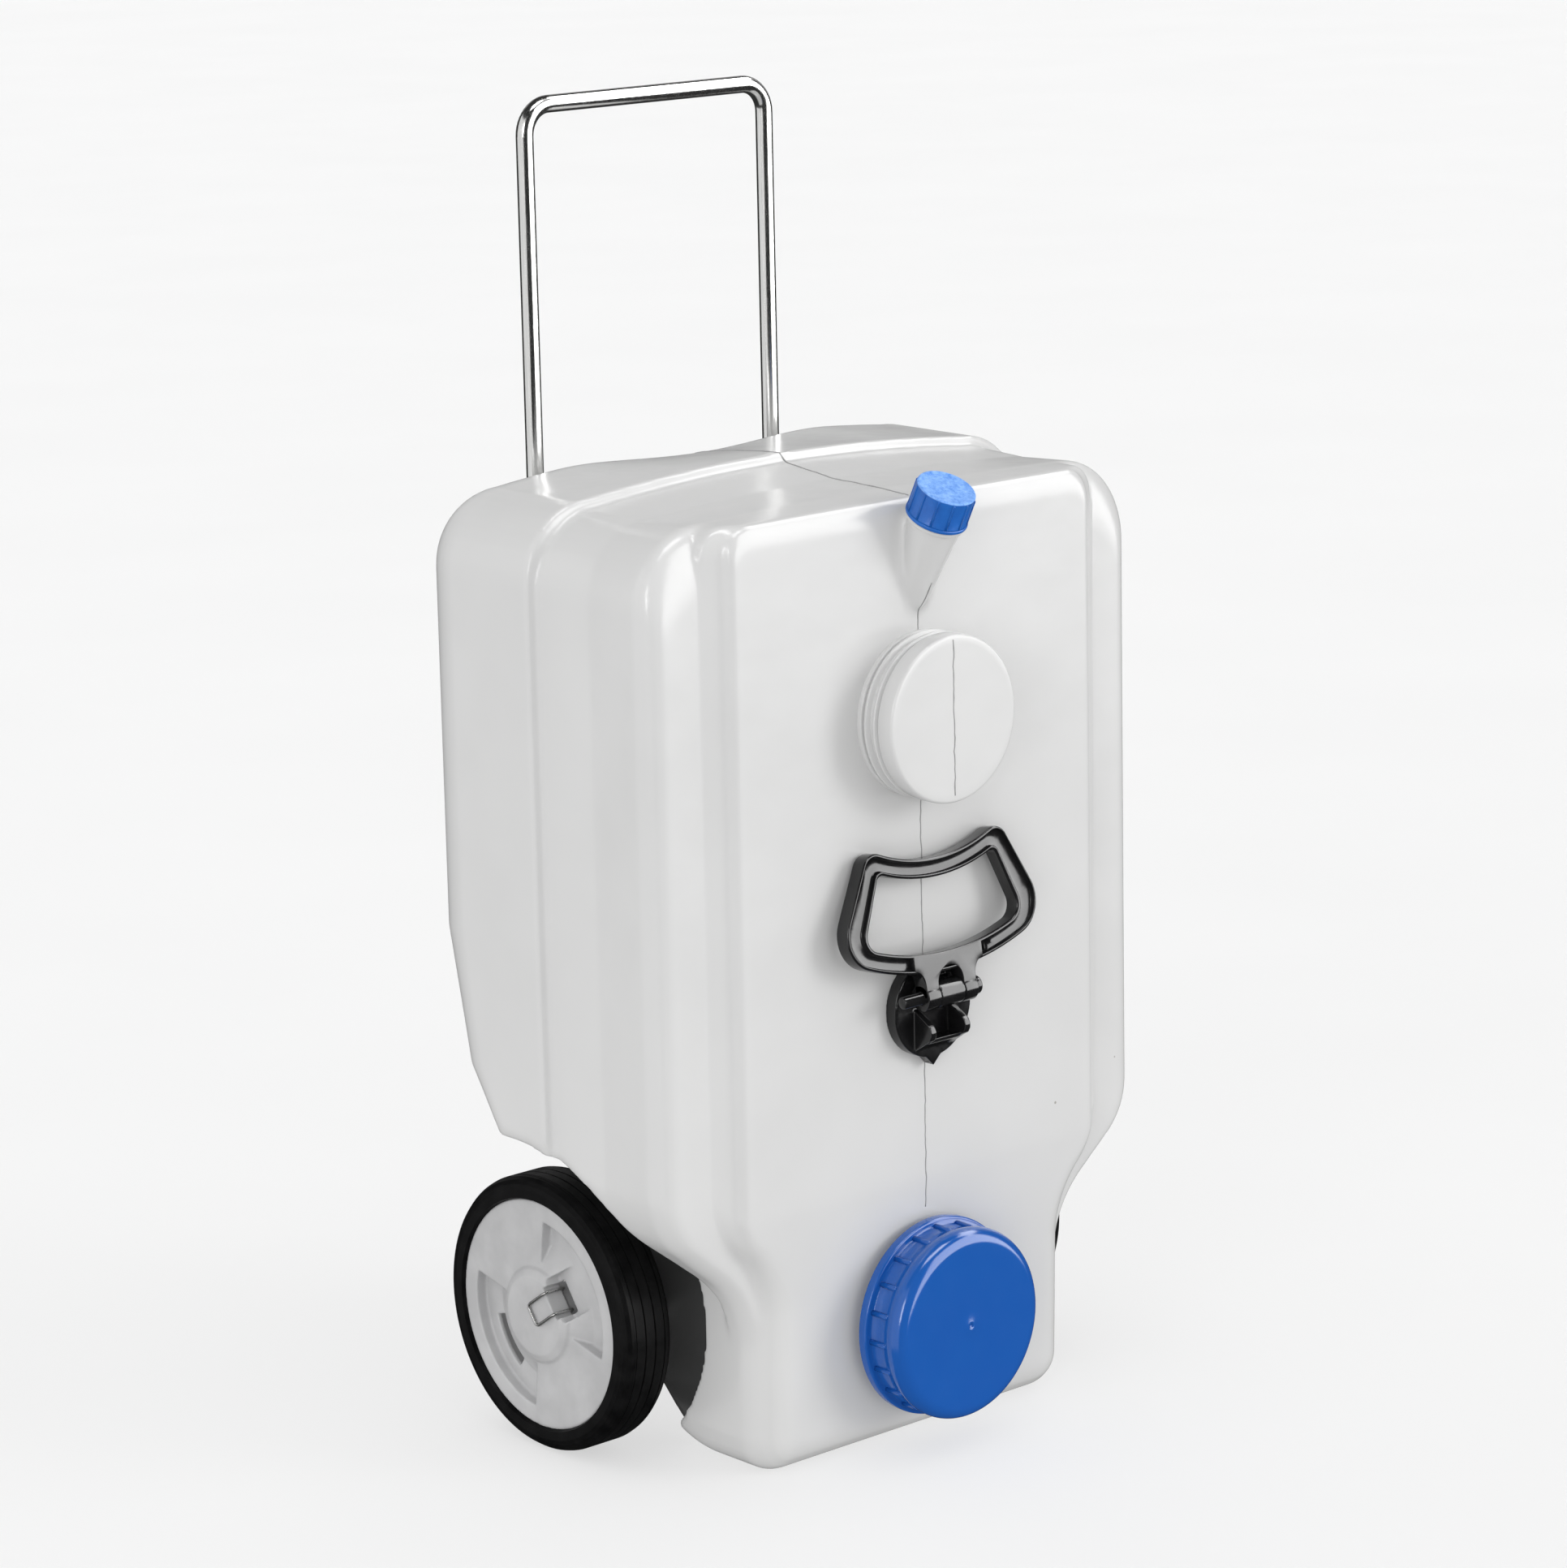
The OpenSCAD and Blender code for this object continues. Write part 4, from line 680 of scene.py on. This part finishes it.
def carry_pin():
    """The hinge pin, its head close to the lug."""
    head, edge = LUG_OUT + PIN_GAP, 0.5
    profile = [(0, PIN_END), (PIN_R - edge, PIN_END), (PIN_R, PIN_END + edge), (PIN_R, head)]
    profile += [(PIN_HEAD_R - edge, head), (PIN_HEAD_R, head + edge)]
    profile += arc((PIN_HEAD_R - 1, head + PIN_HEAD_T - 1), 1, 0, 90, 4) + [(0, head + PIN_HEAD_T)]
    verts, faces = lathe(profile, 48)
    points = [to_row((z, x - HINGE_REACH, y + HINGE_Z)) for x, y, z in verts]
    return add_object("carry_pin_form", points, faces)


def softened(node, name, voxel):
    """A moulded copy of a CAD node, with all its edges rounded."""
    obj = bpy.data.objects.new(name, NODES[node].data.copy())
    SCENE.collection.objects.link(obj)
    return mould(obj, voxel, SOFTEN_STEPS)


# Mould seam: a fine, uneven flash line on the middle plane, laid on the finished skin

TOP_SEAM_R, SEAM_R = 0.62, 0.45
SEAM_STEP, SEAM_SIDES, SEAM_FLAT = 2.5, 6, 0.8


def seam_path(tree, from_top):
    """Points of the seam over the top or down the panel, found on the skin."""
    if from_top:
        rays = [((0, y, TANK_H + 60), (0, 0, -1)) for y in np.arange(TANK_D - 8, 6, -SEAM_STEP)]
    else:
        rays = [((0, -120, z), (0, 1, 0)) for z in np.arange(SPOUT_Z - 6, CAP_Z + 60, -SEAM_STEP)]
    hits = []
    for origin, towards in rays:
        hit, normal, _, _ = tree.ray_cast(to_row(origin), Vector(towards))
        if hit is not None:
            hits.append((hit, normal))
    return hits


def disc_seam_path():
    """Points of the seam on the spare neck's face."""
    reach = NECK_R + THREAD_H - 3
    heights = np.arange(SPARE_Z + reach, SPARE_Z - reach, -SEAM_STEP)
    return [(to_row((0, -SPARE_L, z)), Vector((0, -1, 0))) for z in heights]


def seam(name, hits, radius, wobble):
    """A fine tube with an uneven line and width along the path."""
    verts = []
    for k, (hit, normal) in enumerate(hits):
        ahead = hits[min(k + 1, len(hits) - 1)][0] - hits[max(k - 1, 0)][0]
        along = ahead.normalized()
        across = along.cross(normal).normalized()
        slow = noise.noise(Vector((k * 0.35, 0.3, 0.7)))
        quick = noise.noise(Vector((k * 1.3, 4, 2)))
        shift = wobble * slow + 0.5 * wobble * quick
        r = radius * (0.75 + 0.6 * abs(noise.noise(Vector((k * 0.8, 7.1, 1.9)))))
        for i in range(SEAM_SIDES):
            a = 2 * math.pi * i / SEAM_SIDES
            aside = across * (shift + r * math.cos(a)) * MM
            verts.append(hit + aside + normal * (r * math.sin(a) * SEAM_FLAT) * MM)
    count = len(hits)
    return add_object(name, verts, tube_faces(count, SEAM_SIDES) + end_faces(count, SEAM_SIDES))


# Materials

class Shader:
    """A material whose colour, gloss and relief come from noise at the surface's own scale."""

    def __init__(self, name):
        self.mat = bpy.data.materials.new(name)
        self.mat.use_nodes = True
        self.tree = self.mat.node_tree
        self.bsdf = self.tree.nodes["Principled BSDF"]
        self.coords = self.tree.nodes.new("ShaderNodeTexCoord").outputs["Object"]

    def set(self, **values):
        for key, value in values.items():
            self.bsdf.inputs[key.replace("_", " ")].default_value = value
        return self

    def node(self, kind, **props):
        node = self.tree.nodes.new("ShaderNode" + kind)
        for key, value in props.items():
            setattr(node, key, value)
        return node

    def link(self, a, b):
        self.tree.links.new(a, b)
        return b

    def stretched(self, scale):
        mapping = self.node("Mapping")
        mapping.inputs["Scale"].default_value = scale
        self.link(self.coords, mapping.inputs["Vector"])
        return mapping.outputs["Vector"]

    def noise(self, size, detail=3.0, vector=None, rough=0.55):
        """Noise whose features are about size millimetres across."""
        tex = self.node("TexNoise")
        tex.inputs["Scale"].default_value = 1 / (size * MM)
        tex.inputs["Detail"].default_value = detail
        tex.inputs["Roughness"].default_value = rough
        self.link(vector or self.coords, tex.inputs["Vector"])
        return tex.outputs["Fac"]

    def ranged(self, value, low, high, to_low, to_high):
        node = self.node("MapRange")
        for key, number in (("From Min", low), ("From Max", high), ("To Min", to_low), ("To Max", to_high)):
            node.inputs[key].default_value = number
        self.link(value, node.inputs["Value"])
        return node.outputs["Result"]

    def reckon(self, operation, *sockets):
        node = self.node("Math", operation=operation)
        for socket, value in zip(node.inputs, sockets):
            self.link(value, socket)
        return node.outputs[0]

    def mixed(self, factor, a, b):
        node = self.node("Mix", data_type="RGBA")
        for socket, value in ((node.inputs[6], a), (node.inputs[7], b)):
            if isinstance(value, tuple):
                socket.default_value = (*value, 1)
            else:
                self.link(value, socket)
        self.link(factor, node.inputs[0])
        return node.outputs[2]

    def color(self, socket):
        self.link(socket, self.bsdf.inputs["Base Color"])
        return self

    def roughness(self, socket):
        self.link(socket, self.bsdf.inputs["Roughness"])
        return self

    def bump(self, *layers):
        """Layers of (height socket, depth in millimetres), each added on the one before."""
        normal = None
        for height, depth in layers:
            node = self.node("Bump")
            node.inputs["Strength"].default_value = 1
            node.inputs["Distance"].default_value = depth * MM
            self.link(height, node.inputs["Height"])
            if normal is not None:
                self.link(normal, node.inputs["Normal"])
            normal = node.outputs["Normal"]
        self.link(normal, self.bsdf.inputs["Normal"])
        return self


# Noise spans over which colours and roughness run
TINT_SPAN, GLOSS_SPAN = (0.35, 0.65), (0.3, 0.7)
# Painted shade: the dark colour inside the round recesses behind the wheels, and the soft width of its edge
# in millimetres
RECESS_SHADE_COLOUR, RECESS_SHADE_EDGE = (0.06, 0.06, 0.06), 2


def painted_recess_shade(s):
    """Painted shade: one inside the round recesses behind the wheels, where shade falls in the pocket."""
    flat = s.node("VectorMath", operation="MULTIPLY")
    flat.inputs[1].default_value = (0, 1, 1)
    s.link(s.coords, flat.inputs[0])
    reach = s.node("VectorMath", operation="DISTANCE")
    reach.inputs[1].default_value = (0, *to_row((0, AXLE_SET, AXLE_Z))[1:])
    s.link(flat.outputs["Vector"], reach.inputs[0])
    parts = s.node("SeparateXYZ")
    s.link(s.coords, parts.inputs[0])
    aside = s.reckon("ABSOLUTE", parts.outputs["X"])
    floor = LOWER_HALF - RECESS_DEEP
    near = s.ranged(reach.outputs["Value"], (RECESS_R - RECESS_SHADE_EDGE) * MM, (RECESS_R + RECESS_SHADE_EDGE) * MM, 1, 0)
    sunk = s.ranged(aside, (LOWER_HALF - 5) * MM, LOWER_HALF * MM, 1, 0)
    above = s.ranged(aside, (floor - 3) * MM, (floor - 1) * MM, 0, 1)
    return s.reckon("MULTIPLY", s.reckon("MULTIPLY", near, sunk), above)


def tank_plastic(name, dark, light):
    s = Shader(name)
    clouds = s.ranged(s.noise(90, 2), *TINT_SPAN, 0, 1)
    base = s.mixed(clouds, (dark, dark, dark * 0.997), (light, light, light * 0.997))
    specks = s.node("TexVoronoi")
    specks.inputs["Scale"].default_value = 1 / (42 * MM)
    s.link(s.coords, specks.inputs["Vector"])
    dot = s.ranged(specks.outputs["Distance"], 0.016, 0.024, 1, 0)
    base = s.mixed(dot, base, (0.34, 0.33, 0.31))
    # Painted shade darkens the tank inside the round recesses behind the wheels
    s.color(s.mixed(painted_recess_shade(s), base, RECESS_SHADE_COLOUR))
    s.roughness(s.ranged(s.noise(35, 4), *GLOSS_SPAN, 0.2, 0.26))
    s.set(Specular_IOR_Level=0.4)
    return s.bump((s.noise(2.2, 2), 0.008), (s.noise(24, 2), 0.2)).mat


def small_cap_plastic():
    """Ribbed blue side, and a worn, pale blue top."""
    s = Shader("small_cap_plastic")
    axis = SPOUT_TURN @ Vector((0, 0, 1))
    top = to_row(Vector((0, 0, SPOUT_Z)) + axis * (SPOUT_L + SMALL_H))
    along = s.node("VectorMath", operation="DOT_PRODUCT")
    along.inputs[1].default_value = axis
    s.link(s.coords, along.inputs[0])
    height = axis.dot(top)
    on_top = s.ranged(along.outputs["Value"], height - 1.1 * MM, height - 0.6 * MM, 0, 1)
    grain = s.noise(3.5, 6, rough=0.75)
    worn = s.mixed(s.ranged(grain, 0.36, 0.66, 0, 1), (0.06, 0.22, 0.66), (0.28, 0.50, 0.92))
    side = s.mixed(s.ranged(s.noise(9, 3), *TINT_SPAN, 0, 1), (0.006, 0.095, 0.40), (0.010, 0.125, 0.48))
    s.color(s.mixed(on_top, side, worn))
    s.roughness(s.ranged(on_top, 0, 1, 0.3, 0.62))
    return s.bump((grain, 0.1), (s.noise(1, 2), 0.015)).mat


def moulded(name, tint, gloss, relief, specular=None):
    """A plastic or rubber.

    tint: noise size, detail and span, dark and light colour; gloss: noise size, detail and span, least and
    most roughness; relief: layers of noise size, detail and depth.
    """
    s = Shader(name)
    size, detail, span, dark, light = tint
    s.color(s.mixed(s.ranged(s.noise(size, detail), *span, 0, 1), dark, light))
    size, detail, span, least, most = gloss
    s.roughness(s.ranged(s.noise(size, detail), *span, least, most))
    if specular is not None:
        s.set(Specular_IOR_Level=specular)
    return s.bump(*[(s.noise(size, detail), depth) for size, detail, depth in relief]).mat


def steel(name, shade, low, high, grain):
    """Bright steel with fine drawing lines along grain."""
    s = Shader(name)
    lines = s.noise(1, 5, s.stretched(grain), 0.7)
    dark = tuple(c * 0.8 for c in shade)
    s.color(s.mixed(s.ranged(lines, *GLOSS_SPAN, 0, 1), dark, shade))
    s.roughness(s.ranged(lines, *GLOSS_SPAN, low, high))
    s.set(Metallic=1.0)
    return s.bump((lines, 0.012), (s.noise(4, 4), 0.02)).mat


def paint(obj, mat):
    obj.data.materials.clear()
    obj.data.materials.append(mat)


TANK_MAT = tank_plastic("tank_plastic", 0.605, 0.625)
# The seam's plastic is darker than the tank's: painted shade for the shadow line along the flash
SEAM_SHADE_MAT = tank_plastic("seam_shade_plastic", 0.26, 0.34)
MOULDED = {
    "blue_plastic": (
        (30, 2, TINT_SPAN, (0.010, 0.088, 0.375), (0.010, 0.091, 0.38)),
        (12, 4, GLOSS_SPAN, 0.12, 0.17), ((1.2, 2, 0.015), (18, 2, 0.03))),
    "black_plastic": (
        (20, 3, TINT_SPAN, (0.006, 0.006, 0.0065), (0.012, 0.012, 0.0125)),
        (6, 5, (0.3, 0.75), 0.1, 0.24), ((9, 2, 0.04), (0.8, 2, 0.006))),
    "guide_plastic": (
        (14, 3, TINT_SPAN, (0.035, 0.035, 0.037), (0.05, 0.05, 0.052)),
        (3, 4, GLOSS_SPAN, 0.42, 0.6), ((0.7, 2, 0.03),)),
    "wheel_plastic": (
        (22, 4, TINT_SPAN, (0.42, 0.42, 0.425), (0.485, 0.485, 0.49)),
        (8, 4, GLOSS_SPAN, 0.34, 0.5), ((1.1, 2, 0.02), (15, 2, 0.1))),
    "tyre_rubber": (
        (10, 5, (0.35, 0.7), (0.003, 0.003, 0.0032), (0.007, 0.007, 0.0072)),
        (5, 5, GLOSS_SPAN, 0.32, 0.46), ((0.8, 3, 0.03), (6, 2, 0.05)), 0.06),
    "seal_rubber": (
        (6, 4, TINT_SPAN, (0.03, 0.03, 0.03), (0.05, 0.05, 0.05)),
        (2, 4, GLOSS_SPAN, 0.6, 0.8), ((0.6, 2, 0.03),)),
}
FINISHES = {name: moulded(name, *looks) for name, looks in MOULDED.items()}
FINISHES["tank_plastic"] = TANK_MAT
FINISHES["polished_steel"] = steel("polished_steel", (0.72, 0.72, 0.71), 0.1, 0.24, (1, 1, 0.03))
FINISHES["zinc_steel"] = steel("zinc_steel", (0.6, 0.6, 0.59), 0.22, 0.4, (1, 1, 0.5))
BLUE_MAT, BLACK_MAT = FINISHES["blue_plastic"], FINISHES["black_plastic"]
for part in frame["record"]["subparts"]:
    paint(NODES[part["node"]], FINISHES[part["material_slot"]])


def dress(obj, mat, body):
    paint(obj, mat)
    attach(obj, body)
    return obj


def dress_node(pieces, node, mat, body):
    """Pieces that stand for a CAD node."""
    for piece in pieces:
        dress(piece, mat, body)
        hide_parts(node)


body = tank_body()
dress_node([body], "tank_shell", TANK_MAT, "tank")
tree = BVHTree.FromObject(body, bpy.context.evaluated_depsgraph_get())
for piece in (large_neck(), spare_neck(), spout_neck()):
    dress(piece, TANK_MAT, "tank")
for piece in (
    seam("top_seam", seam_path(tree, True), TOP_SEAM_R, 0.9),
    seam("panel_seam", seam_path(tree, False), SEAM_R, 0.7),
    seam("disc_seam", disc_seam_path(), SEAM_R, 0.8),
):
    dress(piece, SEAM_SHADE_MAT, "tank")
dress_node([large_cap()], "large_cap", BLUE_MAT, "large_lid")
dress_node([small_cap()], "small_cap", small_cap_plastic(), "small_lid")
dress_node(carry_loop(), "carry_handle_loop", BLACK_MAT, "carry_loop")
carry_base = softened("carry_handle_base", "carry_base_form", BASE_VOXEL)
dress_node([carry_base], "carry_handle_base", BLACK_MAT, "tank")
dress_node([carry_pin()], "carry_handle_pin", BLACK_MAT, "tank")
for side in ("left", "right"):
    wheel = softened("wheel_rim_" + side, "wheel_form_" + side, RIM_VOXEL)
    dress_node([wheel], "wheel_rim_" + side, FINISHES["wheel_plastic"], "wheel_" + side)


# Camera, taken for an image of 1931 x 1932 pixels

IMAGE_W = 1931
SENSOR_W = 36
YAW, PITCH, ROLL = 41.575, 12.925, -1.198
DISTANCE, FOCAL_PX, AIM_RIGHT, AIM_Z = 2828.4, 6287.5, -75.76, 383.85


def add_camera():
    a, e = math.radians(YAW), math.radians(PITCH)
    back = Vector((-math.sin(a) * math.cos(e), -math.cos(a) * math.cos(e), math.sin(e)))
    right = (-back).cross(Vector((0, 0, 1))).normalized()
    up = right.cross(-back)
    place = Vector((0, 0, AIM_Z)) + right * AIM_RIGHT + back * DISTANCE
    turned = Matrix.Rotation(math.radians(ROLL), 3, back)
    axes = Matrix((turned @ right, turned @ up, back)).transposed()
    data = bpy.data.cameras.new("camera")
    data.sensor_fit = "HORIZONTAL"
    data.sensor_width = SENSOR_W
    data.lens = SENSOR_W * FOCAL_PX / IMAGE_W
    data.clip_end = 200
    camera = bpy.data.objects.new("camera", data)
    camera.matrix_world = Matrix.Translation(to_row(place)) @ axes.to_4x4()
    SCENE.collection.objects.link(camera)
    SCENE.camera = camera


# Studio: a pale, faintly glowing floor, even soft light, and soft boxes that show only in reflections

FLOOR_SIZE = 90


def add_floor():
    size = FLOOR_SIZE
    corners = [(-size, -size, 0), (size, -size, 0), (size, size, 0), (-size, size, 0)]
    floor = add_object("floor", corners, [(0, 1, 2, 3)])
    s = Shader("floor_paper")
    paper = s.mixed(s.ranged(s.noise(400, 2), *TINT_SPAN, 0, 1), (0.58, 0.58, 0.58), (0.59, 0.59, 0.59))
    s.link(paper, s.bsdf.inputs["Emission Color"])
    s.set(Base_Color=(0.3, 0.3, 0.3, 1), Roughness=0.9, Specular_IOR_Level=0.1, Emission_Strength=1.0)
    paint(floor, s.mat)
    floor.visible_glossy = False
    floor.visible_diffuse = False


def direction(azimuth, elevation):
    a, e = math.radians(azimuth), math.radians(elevation)
    return Vector((math.sin(a) * math.cos(e), -math.cos(a) * math.cos(e), math.sin(e)))


# Soft boxes: azimuth from and to, elevation from and to, brightness
SOFT_BOXES = (
    (4, 66, -9, 42, 8.0), (-146, -58, -22, 40, 1.2), (-66, -55, 4, 26, 12.0), (62, 102, 38, 56, 10.0),
    (-45, 50, 62, 78, 12.0), (95, 178, 4, 32, 0.4))
BOX_EDGE = 3
SKY_DOWN, SKY_UP, GLOSS_BASE = 1.0, 1.2, 0.05


def add_world():
    world = bpy.data.worlds.new("studio")
    world.use_nodes = True
    SCENE.world = world
    nodes, links = world.node_tree.nodes, world.node_tree.links
    nodes.clear()
    out = nodes.new("ShaderNodeOutputWorld")
    coords = nodes.new("ShaderNodeTexCoord").outputs["Generated"]
    split = nodes.new("ShaderNodeSeparateXYZ")
    links.new(coords, split.inputs[0])

    def ranged(value, low, high, to_low, to_high):
        node = nodes.new("ShaderNodeMapRange")
        node.interpolation_type = "SMOOTHSTEP"
        for key, number in (("From Min", low), ("From Max", high), ("To Min", to_low), ("To Max", to_high)):
            node.inputs[key].default_value = number
        links.new(value, node.inputs["Value"])
        return node.outputs["Result"]

    def math_node(operation, *values):
        node = nodes.new("ShaderNodeMath")
        node.operation = operation
        for socket, value in zip(node.inputs, values):
            if isinstance(value, (int, float)):
                socket.default_value = value
            else:
                links.new(value, socket)
        return node.outputs[0]

    def between(value, low, high):
        up = ranged(value, math.radians(low - BOX_EDGE), math.radians(low + BOX_EDGE), 0, 1)
        down = ranged(value, math.radians(high - BOX_EDGE), math.radians(high + BOX_EDGE), 1, 0)
        return math_node("MULTIPLY", up, down)

    sky = ranged(split.outputs["Z"], -0.15, 0.25, SKY_DOWN, SKY_UP)
    front = math_node("MULTIPLY", split.outputs["Y"], -1)
    azimuth = math_node("ARCTAN2", split.outputs["X"], front)
    elevation = math_node("ARCSINE", split.outputs["Z"])
    gloss = GLOSS_BASE
    for left, right, low, high, bright in SOFT_BOXES:
        box = math_node("MULTIPLY", between(azimuth, left, right), between(elevation, low, high))
        gloss = math_node("MULTIPLY_ADD", box, bright, gloss)
    path = nodes.new("ShaderNodeLightPath")
    mix = nodes.new("ShaderNodeMix")
    links.new(path.outputs["Is Glossy Ray"], mix.inputs[0])
    links.new(sky, mix.inputs[2])
    links.new(gloss, mix.inputs[3])
    background = nodes.new("ShaderNodeBackground")
    links.new(mix.outputs[0], background.inputs["Strength"])
    links.new(background.outputs[0], out.inputs[0])


# Suns: azimuth, elevation, width in degrees, strength
SUNS = ((38, 16, 24, 0.9), (-62, 14, 40, 0.75))


def add_suns():
    for k, (azimuth, elevation, width, strength) in enumerate(SUNS):
        data = bpy.data.lights.new("key_%d" % k, "SUN")
        data.angle = math.radians(width)
        data.energy = strength
        light = bpy.data.objects.new("key_%d" % k, data)
        light.rotation_euler = direction(azimuth, elevation).to_track_quat("Z", "Y").to_euler()
        light.visible_glossy = False
        SCENE.collection.objects.link(light)


add_camera()
add_floor()
add_world()
add_suns()
SCENE.view_settings.view_transform = "Standard"


def plain(box):
    return [[round(c, 6) for c in corner] for corner in box]
